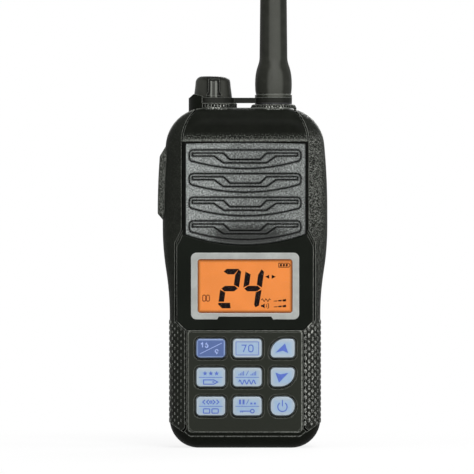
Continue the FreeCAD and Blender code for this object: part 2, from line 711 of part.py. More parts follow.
def grip_region(widen):
    """The right-hand region that the grip covers, seen from the front, widened inwards by a groove."""
    chest, display = GRIP_EDGE_CHEST - widen, GRIP_EDGE_DISPLAY - widen
    keypad, top = GRIP_EDGE_KEYPAD - widen, GRIP_EDGE_TOP - widen
    low = GRIP_BOTTOM_HEIGHT - widen
    outer = CHEST_HALF_WIDTH + GRIP_OVERHANG
    step_top = PLATE_SIDE_BOTTOM + PLATE_THICKNESS
    slope = display - chest
    arc = Part.Arc(Vector(top, 0, BODY_HEIGHT - 1), Vector(chest - 1.5, 0, GRIP_TOP_CURVE_START + 6.2),
                   Vector(chest, 0, GRIP_TOP_CURVE_START)).toShape()
    corners = [(chest, GRIP_TOP_CURVE_START), (chest, step_top), (display, step_top - 2 * slope),
               (display, PANEL_CHAMFER_TOP), (keypad, PANEL_CHAMFER_TOP - (display - keypad)),
               (keypad, low + 1.2), (keypad + 1.2, low), (outer, low + GRIP_BOTTOM_RISE),
               (outer, BODY_HEIGHT + 5), (top, BODY_HEIGHT + 5), (top, BODY_HEIGHT - 1)]
    points = [Vector(x, 0, z) for x, z in corners]
    edges = [arc] + [Part.makeLine(a, b) for a, b in zip(points, points[1:])]
    face = Part.Face(Part.Wire(edges))
    face.translate(Vector(0, FRONT_Y - 5, 0))
    return face.extrude(Vector(0, FRONT_DEPTH + PARTING_Y + 10, 0))


def grip_right():
    """The grained skin over the right side of the front casing."""
    skin = front_blank(0, PARTING_Y).cut(front_blank(GRIP_THICKNESS - BOND_GAP, PARTING_Y + 1))
    boss = rod(ANTENNA_BOSS_RADIUS + FIT, (ANTENNA_X, TOP_Y, 0), (0, 0, 1), FAR)
    return skin.common(grip_region(0)).cut(boss)


def grip_left():
    """The grained skin on the left side, with the opening for the talk pad."""
    boss = rod(JACK_BOSS_RADIUS + FIT, (JACK_X, TOP_Y, 0), (0, 0, 1), FAR)
    return mirrored(grip_right()).cut(boss).cut(talk_prism(TALK_CLEARANCE, -FAR, 0))


# Push-to-talk

def talk_prism(grow, x0, x1):
    """A bar along X with the talk pad's side outline, grown by a clearance."""
    y0, y1 = TALK_FRONT_Y - grow, TALK_BACK_Y + grow
    z0, z1 = TALK_BOTTOM - grow, TALK_TOP + grow
    block = box(x0, x1, y0, y1, z0, z1)
    along = [e for e in block.Edges if abs(e.BoundBox.XLength - (x1 - x0)) < 1e-3]
    return block.makeFillet(TALK_CORNER + grow, along)


def talk_slope(end, length, up):
    """The wedge that slopes one end of the talk pad down to the casing; up is 1 at its top and -1 at its foot."""
    probe = front_blank(0).common(box(-FAR, 0, TOP_Y - 1, TOP_Y, end - 0.5, end + 0.5))
    skin = probe.BoundBox.XMin
    reach = 3 * TALK_PROUD
    return prism([(skin, end), (skin - reach, end - up * length * reach / TALK_PROUD),
                  (skin - reach, end + up), (skin, end + up)], FRONT_Y - FRONT_DEPTH, PARTING_Y)


def talk_switch_x():
    """Where the talk switch's button ends, so that the pressed pad just reaches it."""
    z = (TALK_BOTTOM + TALK_TOP) / 2
    probe = front_blank(CAVITY + FIT + TALK_FLANGE).common(box(-FAR, 0, TOP_Y - 1, TOP_Y, z - 1, z))
    return probe.BoundBox.XMin + TALK_TRAVEL + FIT


def talk_pad():
    """The rubber pad that is pressed to talk, with a lip inside the wall."""
    outer = blank(-TALK_PROUD, FRONT_Y - TALK_PROUD, PARTING_Y, FRONT_EDGE_RADIUS + TALK_PROUD)
    shell = outer.cut(front_blank(TALK_DEPTH, PARTING_Y + 1)).common(talk_prism(0, -FAR, 0))
    rim = [e for e in shell.Edges if on_talk_rim(e)]
    shell = shell.makeFillet(TALK_EDGE, rim)
    shell = shell.cut(talk_slope(TALK_TOP, TALK_SLOPE_TOP, 1))
    shell = shell.cut(talk_slope(TALK_BOTTOM, TALK_SLOPE_BOTTOM, -1))
    stem = front_blank(TALK_DEPTH - 0.1).cut(front_blank(CAVITY + 0.3)).common(talk_prism(0, -FAR, 0))
    lip = front_blank(CAVITY + FIT).cut(front_blank(CAVITY + FIT + TALK_FLANGE))
    lip = lip.common(talk_prism(TALK_CLEARANCE + TALK_FLANGE, -FAR, -TALK_INNER_X))
    return joined([shell, stem, lip])


def on_talk_rim(edge):
    """True for an edge on the pad's outer, raised face."""
    middle = edge.valueAt((edge.FirstParameter + edge.LastParameter) / 2)
    inner = front_blank_probe()
    return not inner.isInside(middle, 1e-3, True) and edge.BoundBox.XLength < 12


_probe = []


def front_blank_probe():
    """A body block a little larger than the casing, made once."""
    if not _probe:
        size = TALK_PROUD - 0.2
        _probe.append(blank(-size, FRONT_Y - size, PARTING_Y + 1, FRONT_EDGE_RADIUS + size))
    return _probe[0]


def talk_switch():
    """The side switch on the edge of the main board that the pad presses, drawn with its button down."""
    x = talk_switch_x()
    z = (TALK_BOTTOM + TALK_TOP) / 2
    half = TALK_SWITCH_SIZE / 2
    y = BOARD_BACK_Y + half
    body = box(x + TALK_SWITCH_BUTTON, x + TALK_SWITCH_BUTTON + TALK_SWITCH_HEIGHT, y - half, y + half,
               z - half, z + half)
    button = rod(TALK_SWITCH_BUTTON_RADIUS, (x, y, z), (1, 0, 0), TALK_SWITCH_BUTTON + 0.2)
    return joined([body, button])


# Keypad

def key_table():
    """Each key's name, centre, width and corner radii, from top left and then clockwise."""
    plain = (KEY_CORNER,) * 4
    up = (KEY_CORNER_SWEPT, KEY_CORNER, KEY_CORNER, KEY_CORNER)
    down = (KEY_CORNER, KEY_CORNER, KEY_CORNER_SWEPT, KEY_CORNER)
    power = (KEY_CORNER_POWER_LEFT, KEY_CORNER_POWER_RIGHT, KEY_CORNER_POWER_RIGHT, KEY_CORNER_POWER_LEFT)
    left, middle, right = KEY_COLUMNS
    first, second, third = KEY_ROWS
    return [("key_sixteen", left, first, KEY_WIDTH, plain), ("key_channel", middle, first, KEY_WIDTH, plain),
            ("key_up", right, first, KEY_WIDTH_RIGHT, up), ("key_favourite", left, second, KEY_WIDTH, plain),
            ("key_volume", middle, second, KEY_WIDTH, plain),
             ("key_down", right, second, KEY_WIDTH_RIGHT, down),
            ("key_scan", left, third, KEY_WIDTH, plain), ("key_lock", middle, third, KEY_WIDTH, plain),
            ("key_power", right, third, KEY_WIDTH_RIGHT, power)]


def key_block(entry, grow, y0, y1):
    """A block with one key's outline, grown by a clearance."""
    _, x, z, width, corners = entry
    radii = [radius + grow for radius in corners]
    return rounded(x, z, width + 2 * grow, KEY_HEIGHT + 2 * grow, radii, y0, y1)


def key(entry):
    """One key: a cap that stands out of its well, a lip behind the wall and a plunger over its dome."""
    flange_y = INNER_FRONT_Y + FIT
    cap = softened(key_block(entry, 0, KEY_FRONT_Y, flange_y), KEY_FRONT_Y, KEY_EDGE)
    flange = key_block(entry, KEY_FLANGE, flange_y, flange_y + KEY_FLANGE_THICKNESS)
    end = BOARD_Y - DOME_HEIGHT - KEY_TRAVEL - FIT
    start = flange_y + KEY_FLANGE_THICKNESS - 0.2
    plunger = rod(KEY_PLUNGER_RADIUS, (entry[1], start, entry[2]), (0, 1, 0), end - start)
    return joined([cap, flange, plunger])


def keypad_mat():
    """The silicone frame behind the wall, with an opening round each key's lip."""
    y0 = INNER_FRONT_Y + FIT
    left, right = KEY_COLUMNS[0] - KEY_WIDTH / 2, KEY_COLUMNS[2] + KEY_WIDTH_RIGHT / 2
    low, high = KEY_ROWS[2] - KEY_HEIGHT / 2, KEY_ROWS[0] + KEY_HEIGHT / 2
    border = MAT_BORDER + KEY_FLANGE + KEY_CLEARANCE
    sheet = rounded((left + right) / 2, (low + high) / 2, right - left + 2 * border, high - low + 2 * border,
                    (KEYPAD_CORNER,) * 4, y0, y0 + MAT_THICKNESS)
    openings = [key_block(k, KEY_FLANGE + KEY_CLEARANCE, y0 - 1, y0 + MAT_THICKNESS + 1) for k in key_table()]
    return sheet.cut(openings[0].multiFuse(openings[1:]))


def key_domes():
    """The metal domes on the main board, drawn at their pressed height."""
    forward = Vector(0, -1, 0)
    return group([Part.makeCone(DOME_RADIUS, DOME_TOP_RADIUS, DOME_HEIGHT, Vector(x, BOARD_Y, z), forward)
                  for _, x, z, _, _ in key_table()])


# Speaker grille

def plate_block(grow, y0, y1):
    """The grille plate's outline: a crowned top and a sagging bottom edge."""
    half, top, side = PLATE_HALF_WIDTH + grow, PLATE_TOP + grow, PLATE_SIDE_BOTTOM - grow
    shoulder = top - PLATE_CROWN
    upper = Part.Arc(Vector(half, y0, shoulder), Vector(0, y0, top), Vector(-half, y0, shoulder))
    lower = Part.Arc(Vector(-half, y0, side), Vector(0, y0, side - PLATE_SAG), Vector(half, y0, side))
    sides = [Part.makeLine(Vector(-half, y0, shoulder), Vector(-half, y0, side)),
             Part.makeLine(Vector(half, y0, side), Vector(half, y0, shoulder))]
    wire = Part.Wire([upper.toShape(), sides[0], lower.toShape(), sides[1]])
    return Part.Face(wire).extrude(Vector(0, y1 - y0, 0))


def louvre_loop(top, grow, y0, y1):
    """The closed outline of one louvre motif: a flat top, round ends and a sagging belly."""
    half = LOUVRE_HALF_WIDTH + grow
    high, low = top + grow, top - LOUVRE_END_HEIGHT - grow
    deep = top - LOUVRE_BELLY - grow
    r = LOUVRE_CORNER_RADIUS + grow
    shift = r * (1 - math.sqrt(0.5))
    points = {"a": (half - r, high), "b": (half - shift, high - shift), "c": (half, high - r),
              "d": (half, low + r), "e": (half - shift, low + shift), "f": (half - r, low)}
    at = {name: Vector(x, y0, z) for name, (x, z) in points.items()}
    other = {name: Vector(-x, y0, z) for name, (x, z) in points.items()}
    edges = [Part.makeLine(other["a"], at["a"]), Part.Arc(at["a"], at["b"], at["c"]).toShape(),
             Part.makeLine(at["c"], at["d"]), Part.Arc(at["d"], at["e"], at["f"]).toShape(),
             Part.Arc(at["f"], Vector(0, y0, deep), other["f"]).toShape(),
             Part.Arc(other["f"], other["e"], other["d"]).toShape(), Part.makeLine(other["d"], other["c"]),
             Part.Arc(other["c"], other["b"], other["a"]).toShape()]
    return Part.Face(Part.Wire(edges)).extrude(Vector(0, y1 - y0, 0))


def bar_run(top, drop, outer, inner, step):
    """The points of one line of the stepped bar, from its left end to its right end."""
    z = top - drop
    return [(-BAR_END, z), (-outer, z), (-inner, z - step), (inner, z - step), (outer, z), (BAR_END, z)]


def grille_plate():
    """The front plate with its four louvre motifs; the middle of each bar line is open to the speaker."""
    front = FRONT_Y - PLATE_PROUD
    plate = bevelled(plate_block(0, front, PLATE_BACK_Y), front, PLATE_BEVEL)
    floor = front + GROOVE_DEPTH
    cuts = []
    for k in range(LOUVRE_COUNT):
        top = LOUVRE_TOP - k * LOUVRE_PITCH
        half = GROOVE_WIDTH / 2
        cuts.append(louvre_loop(top, half, front - 1, floor).cut(louvre_loop(top, -half, front - 1, floor)))
        upper = bar_run(top, BAR_UPPER_DROP, BAR_UPPER_OUTER, BAR_UPPER_INNER, BAR_UPPER_STEP)
        lower = bar_run(top, BAR_LOWER_DROP, BAR_LOWER_OUTER, BAR_LOWER_INNER, BAR_LOWER_STEP)
        for run in (upper, lower):
            cuts.append(stroke(run, GROOVE_WIDTH, front - 1, floor))
            cuts.append(stroke(run[1:-1], GROOVE_WIDTH, front - 1, PLATE_BACK_Y + 1))
        for end in (0, -1):
            cuts.append(stroke([upper[end], lower[end]], GROOVE_WIDTH, front - 1, floor))
    port = rod(MICROPHONE_PORT_RADIUS / 2, (MICROPHONE_X, front - 1, microphone_slot_z()), (0, 1, 0), 4)
    return plate.cut(cuts[0].multiFuse(cuts[1:] + [port]))


def microphone_slot_z():
    """The height of the lowest bar line's end, where sound gets to the microphone."""
    return LOUVRE_TOP - (LOUVRE_COUNT - 1) * LOUVRE_PITCH - BAR_LOWER_DROP


def speaker_mesh():
    """The fine cloth between the plate and the casing that keeps water out."""
    return plate_block(-1.5, PLATE_BACK_Y, PLATE_BACK_Y + MESH_THICKNESS)


def speaker_frame():
    """The speaker's steel basket, with a rim in front and a seat for the magnet."""
    y = INNER_FRONT_Y + FIT
    at = (0, y, SPEAKER_HEIGHT)
    rim = rod(SPEAKER_RADIUS, at, (0, 1, 0), SPEAKER_FLANGE)
    cone = Part.makeCone(SPEAKER_RADIUS - 1, SPEAKER_MAGNET_RADIUS + 1, SPEAKER_DEPTH, Vector(*at),
                         Vector(0, 1, 0))
    hollow = Part.makeCone(SPEAKER_RADIUS - 1.8, SPEAKER_MAGNET_RADIUS + 0.2, SPEAKER_DEPTH - 0.8,
                           Vector(0, y, SPEAKER_HEIGHT), Vector(0, 1, 0))
    return rim.fuse(cone).cut(hollow).removeSplitter()


def speaker_cone():
    """The paper cone with its dust dome, inside the basket."""
    y = INNER_FRONT_Y + FIT + 0.6
    outer, inner = SPEAKER_RADIUS - 2.6, SPEAKER_MAGNET_RADIUS - 4
    depth = SPEAKER_DEPTH - 3.2
    axis = Vector(0, 1, 0)
    body = Part.makeCone(outer, inner, depth, Vector(0, y, SPEAKER_HEIGHT), axis)
    hollow = Part.makeCone(outer, inner, depth, Vector(0, y - SPEAKER_CONE_THICKNESS, SPEAKER_HEIGHT), axis)
    dome = rod(inner, (0, y + depth - 1, SPEAKER_HEIGHT), (0, 1, 0), 1)
    voice_coil = rod(inner - 1, (0, y + depth - 0.5, SPEAKER_HEIGHT), (0, 1, 0), 2.1 + FIT)
    return joined([body.cut(hollow), dome, voice_coil])


def speaker_magnet():
    """The round magnet on the back of the basket."""
    y = INNER_FRONT_Y + FIT + SPEAKER_DEPTH
    magnet = rod(SPEAKER_MAGNET_RADIUS, (0, y, SPEAKER_HEIGHT), (0, 1, 0), SPEAKER_MAGNET_DEPTH)
    return magnet.makeFillet(0.5, edges_in_plane(magnet, y + SPEAKER_MAGNET_DEPTH))


def microphone():
    """The electret capsule on the board, facing its port in the front wall beside the speaker."""
    y0 = INNER_FRONT_Y + FIT
    capsule = rod(MICROPHONE_RADIUS, (MICROPHONE_X, y0, MICROPHONE_Z), (0, 1, 0), BOARD_Y - y0)
    return bevelled(capsule, y0, MICROPHONE_BEVEL)


# Display

def panel_block(grow, y0, y1):
    """The display panel's outline, less the grille plate that dips into its top edge."""
    half, shoulder, bottom = (PANEL_HALF_WIDTH + grow, PANEL_SHOULDER_HALF_WIDTH + grow,
                              PANEL_BOTTOM_HALF_WIDTH + grow)
    low = PANEL_BOTTOM - grow
    peak = PLATE_SIDE_BOTTOM - PLATE_FIT
    right = [(bottom, low), (half, PANEL_CHAMFER_TOP), (half, PANEL_TOP), (shoulder, peak)]
    block = prism(right + [(-x, z) for x, z in reversed(right)], y0, y1)
    return block.cut(plate_block(PLATE_FIT - grow, y0 - 1, y1 + 1))


def frame_block(grow, y0, y1):
    """The silver frame's outline, with the notch in its lower edge."""
    block = rounded(0, DISPLAY_Z, FRAME_WIDTH + 2 * grow, FRAME_HEIGHT + 2 * grow, (FRAME_CORNER + grow,) * 4,
                    y0, y1)
    low = DISPLAY_Z - FRAME_HEIGHT / 2
    half = FRAME_NOTCH_HALF_WIDTH - grow
    roof = low + FRAME_NOTCH_HEIGHT - grow
    notch = prism([(-half - FRAME_NOTCH_SLOPE, low - 1), (half + FRAME_NOTCH_SLOPE, low - 1),
                   (half + FRAME_NOTCH_SLOPE, low), (half, roof), (-half, roof),
                   (-half - FRAME_NOTCH_SLOPE, low)], y0 - 1, y1 + 1)
    return block.cut(notch)


def sight(grow, y0, y1):
    """A block with the outline of the visible display area."""
    return rounded(0, DISPLAY_Z, SIGHT_WIDTH + 2 * grow, SIGHT_HEIGHT + 2 * grow, (SIGHT_CORNER + grow,) * 4,
                   y0, y1)


def display_panel():
    """The glossy black panel round the display, with a seat for the frame and one for the window."""
    front = FRONT_Y - PANEL_PROUD
    panel = bevelled(panel_block(0, front, PANEL_BACK_Y), front, PANEL_BEVEL)
    seat = frame_block(FIT / 2, front - 1, front - FRAME_PROUD + FRAME_THICKNESS)
    opening = sight(WINDOW_LIP + FIT / 2, front - 1, PANEL_BACK_Y + 1)
    return panel.cut(seat).cut(opening)


def display_frame():
    """The silver frame round the display."""
    front = FRONT_Y - PANEL_PROUD - FRAME_PROUD
    frame = frame_block(0, front, front + FRAME_THICKNESS).cut(sight(0, front - 1, front + 3))
    outer = [e for e in edges_in_plane(frame, front)]
    return frame.makeChamfer(0.2, outer)


def display_window():
    """The clear window under the frame."""
    y0 = FRONT_Y - PANEL_PROUD - FRAME_PROUD + FRAME_THICKNESS + FIT / 2
    return sight(WINDOW_LIP, y0, y0 + WINDOW_THICKNESS)


def display_glass_y():
    """The front of the liquid crystal glass, just behind the window."""
    return PANEL_BACK_Y + FIT / 2


def display_glass():
    """The liquid crystal glass, set in the casing's opening."""
    y0 = display_glass_y()
    return box(-DISPLAY_WIDTH / 2, DISPLAY_WIDTH / 2, y0, y0 + DISPLAY_GLASS, DISPLAY_Z - DISPLAY_HEIGHT / 2,
               DISPLAY_Z + DISPLAY_HEIGHT / 2)


def display_backlight():
    """The light guide behind the glass."""
    y0 = display_glass_y() + DISPLAY_GLASS
    return box(-DISPLAY_WIDTH / 2, DISPLAY_WIDTH / 2, y0, y0 + BACKLIGHT_THICKNESS,
               DISPLAY_Z - DISPLAY_HEIGHT / 2, DISPLAY_Z + DISPLAY_HEIGHT / 2)


def display_holder():
    """The white holder that stands on the board and carries the glass and its light."""
    rest = display_glass_y() + DISPLAY_GLASS + BACKLIGHT_THICKNESS
    half_w, half_h = DISPLAY_WIDTH / 2 + FIT, DISPLAY_HEIGHT / 2 + FIT
    y0 = INNER_FRONT_Y + FIT
    outer = box(-half_w - HOLDER_WALL, half_w + HOLDER_WALL, y0, BOARD_Y, DISPLAY_Z - half_h - HOLDER_WALL,
                DISPLAY_Z + half_h + HOLDER_WALL)
    return outer.cut(box(-half_w, half_w, y0 - 1, rest, DISPLAY_Z - half_h, DISPLAY_Z + half_h))


def digit_segments(centre, shown):
    """The lit segments of one figure, named a to g from the top and then clockwise."""
    w, h, s = DIGIT_WIDTH / 2, DIGIT_HEIGHT / 2, DIGIT_STROKE
    g, t = DIGIT_GAP, DIGIT_STROKE / 2
    shapes = {
        "a": [(g - w, h - t), (g + t - w, h), (w - g - t / 2, h), (w - s - g, h - s), (s - w, h - s)],
        "b": [(w - t, h - g / 2), (w, h - t), (w, g), (w - s, t + g), (w - s, h - s - g / 2)],
        "c": [(w, -g), (w - s, -t - g), (w - s, s * 0.7 - h), (w - s * 0.7, g - h), (w - g / 2, t - h)],
        "d": [(-w, s - h), (w - s - t / 2, s - h), (w - s, -h), (t * 1.6 - w, -h), (-w, s * 0.7 - h)],
        "e": [(-w, -g), (s - w, -t - g), (s - w, s + g - h), (-w, s + g - h)],
        "f": [(-w, h - t), (s - w, h - s), (s - w, t + g), (-w, g)],
        "g": [(g - w, 0), (s * 0.8 - w, t), (w - s * 0.8, t), (w - g, 0), (w - s * 0.8, -t), (s * 0.8 - w, -t)],
    }
    y1 = display_glass_y() - FIT / 5
    return [prism([(centre + x + DIGIT_SLANT * z, DIGIT_Z + z) for x, z in shapes[name]],
                  y1 - SEGMENT_THICKNESS, y1) for name in shown]


def display_segments():
    """The dark segments of a two-figure channel number."""
    solids = []
    for place, shown in enumerate(DIGIT_SHOWN):
        centre = DIGIT_SHIFT + (place - (len(DIGIT_SHOWN) - 1) / 2) * DIGIT_PITCH
        solids += digit_segments(centre, shown)
    return group(solids)


# Casings

def screw_places():
    """The four casing screws: (x, z)."""
    levels = ((CASING_SCREW_LOW_X, CASING_SCREW_LOW_Z), (CASING_SCREW_HIGH_X, CASING_SCREW_HIGH_Z))
    return [(side * x, z) for x, z in levels for side in SCREW_SIDES]


def top_bosses():
    """The two round bosses on the top, with fine upright ribs round their rims, and the cap's guard."""
    z0 = BODY_HEIGHT - 2.5
    solids = []
    for x, foot, taper, top in ((JACK_X, JACK_BOSS_RADIUS, 0, JACK_BOSS_TOP),
                                (ANTENNA_X, ANTENNA_BOSS_RADIUS, ANTENNA_BOSS_TAPER, BOSS_TOP)):
        boss = rod(foot, (x, TOP_Y, z0), (0, 0, 1), top - z0)
        if taper:
            cone = Part.makeCone(foot, foot - taper, top - BODY_HEIGHT, Vector(x, TOP_Y, BODY_HEIGHT))
            boss = joined([rod(foot, (x, TOP_Y, z0), (0, 0, 1), BODY_HEIGHT - z0), cone])
        boss = boss.makeChamfer(BOSS_EDGE, [e for e in boss.Edges if abs(e.BoundBox.ZMin - top) < 1e-3])
        radius = foot - taper / 2
        flutes = []
        for k in range(BOSS_KNURLS):
            angle = 2 * math.pi * k / BOSS_KNURLS
            place = (x + radius * math.cos(angle), TOP_Y + radius * math.sin(angle), BODY_HEIGHT + 0.1)
            flutes.append(rod(BOSS_KNURL_DEPTH, place, (0, 0, 1), top - BODY_HEIGHT - BOSS_EDGE - 0.2))
        solids.append(boss.cut(group(flutes)))
    return solids + [cap_guard()]


def sector(radius, start, stop, z0, z1):
    """A wedge about the jack's axis between two angles, counted from +X."""
    reach = radius * 3
    angles = [math.radians(start + (stop - start) * k / 4) for k in range(5)]
    points = [Vector(JACK_X, TOP_Y, z0)]
    points += [Vector(JACK_X + reach * math.cos(a), TOP_Y + reach * math.sin(a), z0) for a in angles]
    return Part.Face(Part.makePolygon(points + points[:1])).extrude(Vector(0, 0, z1 - z0))


def cap_guard():
    """The raised wall that shields the outer side of the jack cap, highest where it meets the cap's flank."""
    z0 = BODY_HEIGHT - 2.5
    top = BODY_HEIGHT + GUARD_PEAK_HEIGHT
    wall = tube(GUARD_RADIUS, GUARD_RADIUS - GUARD_THICKNESS, (JACK_X, TOP_Y, z0), (0, 0, 1), top - z0)
    wall = wall.common(sector(GUARD_RADIUS, GUARD_FROM, GUARD_TO, z0, top))
    left = JACK_X - GUARD_RADIUS
    peak = left + GUARD_PEAK_INSET
    side_top, end_top = BODY_HEIGHT + GUARD_SIDE_HEIGHT, BODY_HEIGHT + GUARD_END_HEIGHT
    points = [(left - 1, z0), (JACK_X, z0), (JACK_X, end_top), (peak + GUARD_PEAK_WIDTH, top), (peak, top),
              (left + 0.3, side_top), (left - 1, side_top)]
    outline = prism(points, TOP_Y - FRONT_DEPTH, TOP_Y + FRONT_DEPTH)
    return wall.common(outline)


def front_casing():
    """The main shell: front wall, sides, top and base, open at the back."""
    skin = front_blank(0).cut(front_blank(GRIP_THICKNESS, PARTING_Y + 1))
    region = grip_region(GRIP_GROOVE)
    body = front_blank(0).cut(skin.common(region)).cut(skin.common(mirrored(region)))
    keypad = rounded(0, (KEYPAD_TOP + KEYPAD_BOTTOM) / 2, 2 * KEYPAD_HALF_WIDTH, KEYPAD_TOP - KEYPAD_BOTTOM,
                     (0.6, 0.6, KEYPAD_CORNER, KEYPAD_CORNER), KEYPAD_Y, FRONT_Y + 1)
    keypad = bevelled(keypad, KEYPAD_Y, KEYPAD_PROUD - 0.05)
    ridge_low = PLATE_TOP + PLATE_FIT + 0.3
    ridge = box(-PLATE_HALF_WIDTH, PLATE_HALF_WIDTH, FRONT_Y - HEADER_RIDGE_PROUD, FRONT_Y + 1, ridge_low,
                ridge_low + HEADER_RIDGE_HEIGHT)
    ridge = bevelled(ridge, FRONT_Y - HEADER_RIDGE_PROUD, 0.3)
    body = joined([body, keypad, ridge] + top_bosses())
    bosses = []
    for x, z in screw_places():
        bosses.append(rod(CASING_BOSS_RADIUS, (x, INNER_FRONT_Y - 1, z), (0, 1, 0), PARTING_Y - INNER_FRONT_Y + 1))
    inside = front_blank(CAVITY, PARTING_Y + 1).cut(group(bosses))
    body = body.cut(inside)
    body = body.cut(ring(GASKET_INSET, GASKET_WIDTH, PARTING_Y - GASKET_THICKNESS, PARTING_Y + 1))
    pilots = [rod(CASING_SCREW_RADIUS, (x, PARTING_Y - CASING_SCREW_LENGTH, z), (0, 1, 0), FAR)
              for x, z in screw_places()]
    body = body.cut(group(pilots))
    body = body.cut(plate_block(PLATE_FIT, FRONT_Y - 1, PLATE_BACK_Y + MESH_THICKNESS))
    body = body.cut(panel_block(FIT, FRONT_Y - 1, PANEL_BACK_Y))
    body = body.cut(rod(SPEAKER_OPENING_RADIUS, (0, FRONT_Y - 1, SPEAKER_HEIGHT), (0, 1, 0), CAVITY + 2))
    body = body.cut(rod(MICROPHONE_PORT_RADIUS, (MICROPHONE_X, FRONT_Y - 1, MICROPHONE_Z), (0, 1, 0), CAVITY + 2))
    half_w, half_h = DISPLAY_WIDTH / 2 + FIT, DISPLAY_HEIGHT / 2 + FIT
    body = body.cut(box(-half_w, half_w, FRONT_Y - 1, INNER_FRONT_Y + 1,
                        DISPLAY_Z - half_h, DISPLAY_Z + half_h))
    for entry in key_table():
        well = key_block(entry, KEY_WELL, KEYPAD_Y, KEYPAD_Y + KEY_WELL_DEPTH)
        lip = key_block(entry, KEY_WELL + KEY_WELL_BEVEL, KEYPAD_Y - 1, KEYPAD_Y + KEY_WELL_BEVEL)
        lip = bevelled(lip, KEYPAD_Y + KEY_WELL_BEVEL, KEY_WELL_BEVEL - 0.02)
        hole = key_block(entry, KEY_CLEARANCE, FRONT_Y - 1, INNER_FRONT_Y + 1)
        body = body.cut(well.multiFuse([lip, hole]))
    body = body.cut(talk_prism(TALK_CLEARANCE, -FAR, 0))
    socket = rod(CAP_SHANK_RADIUS + SOCKET_FIT + JACK_SOCKET_WALL + BOND_GAP, (JACK_X, TOP_Y, BODY_HEIGHT - 10),
                 (0, 0, 1), 20)
    post = rod(ANTENNA_SHANK_RADIUS + BOND_GAP, (ANTENNA_X, TOP_Y, BODY_HEIGHT - 10), (0, 0, 1), 20)
    return body.cut(socket).cut(post).removeSplitter()


def bay_space():
    """The space of the battery bay, open to the back and the sides."""
    return box(-FAR, FAR, BAY_FLOOR_Y, FAR, BAY_BOTTOM, BAY_TOP)


def rear_casing():
    """The rear shell: bay floor, hollow top block with screw wells, and the foot with the latch pocket."""
    body = rear_blank(0)
    block_inside = rear_blank(WALL, PARTING_Y - 1).common(
        box(-FAR, FAR, PARTING_Y - 1, BACK_Y, BAY_TOP + BLOCK_FLOOR, FAR))
    wells = [rod(CASING_HEAD_RADIUS + SCREW_FIT + 1.2, (x, PARTING_Y - 1, z), (0, 1, 0), FAR)
             for x, z in screw_places() if z > BAY_TOP]
    body = body.cut(block_inside.cut(group(wells)))
    body = body.cut(bay_space())
    wedge = Part.Face(Part.makePolygon([Vector(-FAR, BACK_Y + 1, BAY_TOP + BLOCK_CHAMFER + 1),
                                        Vector(-FAR, BACK_Y + 1, BAY_TOP - 1),
                                        Vector(-FAR, BACK_Y - BLOCK_CHAMFER - 1, BAY_TOP - 1),
                                        Vector(-FAR, BACK_Y + 1, BAY_TOP + BLOCK_CHAMFER + 1)]))
    body = body.cut(wedge.extrude(Vector(2 * FAR, 0, 0)))
    for x, z in screw_places():
        seat = BAY_FLOOR_Y - CASING_HEAD_HEIGHT + 0.1
        body = body.cut(rod(CASING_SCREW_RADIUS + SCREW_FIT, (x, PARTING_Y - 1, z), (0, 1, 0), FAR))
        body = body.cut(rod(CASING_HEAD_RADIUS + SCREW_FIT, (x, seat, z), (0, 1, 0), FAR))
    for side in SCREW_SIDES:
        x0 = side * HOOK_X - HOOK_LENGTH / 2 - HOOK_CLEARANCE
        grow = HOOK_RADIUS + HOOK_CLEARANCE
        length = HOOK_LENGTH + 2 * HOOK_CLEARANCE
        body = body.cut(box(x0, x0 + length, HOOK_Y - grow, HOOK_Y + grow, BAY_TOP - 1, HOOK_Z))
        body = body.cut(rod(grow, (x0, HOOK_Y, HOOK_Z), (1, 0, 0), length))
    groove_floor = BATTERY_BOTTOM - CATCH_DROP - 2 * LATCH_GAP
    body = body.cut(box(-CATCH_HALF_WIDTH - 0.5, CATCH_HALF_WIDTH + 0.5, CATCH_Y - 2 * LATCH_GAP, FAR,
                        groove_floor, BAY_BOTTOM + 1))
    body = body.cut(box(-LATCH_HALF_WIDTH - LATCH_GAP, LATCH_HALF_WIDTH + LATCH_GAP, latch_front_y() - FIT, FAR,
                        LATCH_FLOOR, BAY_BOTTOM + 1))
    body = body.cut(terminal_outline(FIT, PARTING_Y - 1, BAY_FLOOR_Y + 1))
    body = body.cut(ring(-1, SEAM_DEPTH + 1, PARTING_Y, PARTING_Y + SEAM_WIDTH))
    rows = []
    for k in range(HEAT_FIN_COUNT):
        z = (BAY_TOP + BLOCK_CHAMFER + BODY_HEIGHT) / 2 + (k - (HEAT_FIN_COUNT - 1) / 2) * HEAT_FIN_PITCH
        rows.append(rounded(0, z, HEAT_FIN_LENGTH, HEAT_FIN_WIDTH, (HEAT_FIN_WIDTH / 2 - 0.01,) * 4,
                            BACK_Y - HEAT_FIN_DEPTH, BACK_Y + 1))
    body = body.cut(group(rows))
    half = RIB_WIDTH / 2
    ribs = [box(side * RIB_X - half, side * RIB_X + half, CHASSIS_PLATE_Y + CHASSIS_PLATE_THICKNESS + BOND_GAP,
                PARTING_Y + 1, BAY_BOTTOM + RIB_LOW_MARGIN, BAY_TOP - RIB_HIGH_MARGIN) for side in SCREW_SIDES]
    return joined([body] + ribs)


def casing_gasket():
    """The rubber cord in the groove between the two casings."""
    return ring(GASKET_INSET + BOND_GAP, GASKET_WIDTH - 2 * BOND_GAP, PARTING_Y - GASKET_THICKNESS + BOND_GAP,
                PARTING_Y)


def cross_recess(x, y, z, depth, reach):
    """A cross-shaped screwdriver recess that faces the back."""
    half = RECESS_WIDTH / 2
    return joined([box(x - reach, x + reach, y - depth, y + 1, z - half, z + half),
                   box(x - half, x + half, y - depth, y + 1, z - reach, z + reach)])


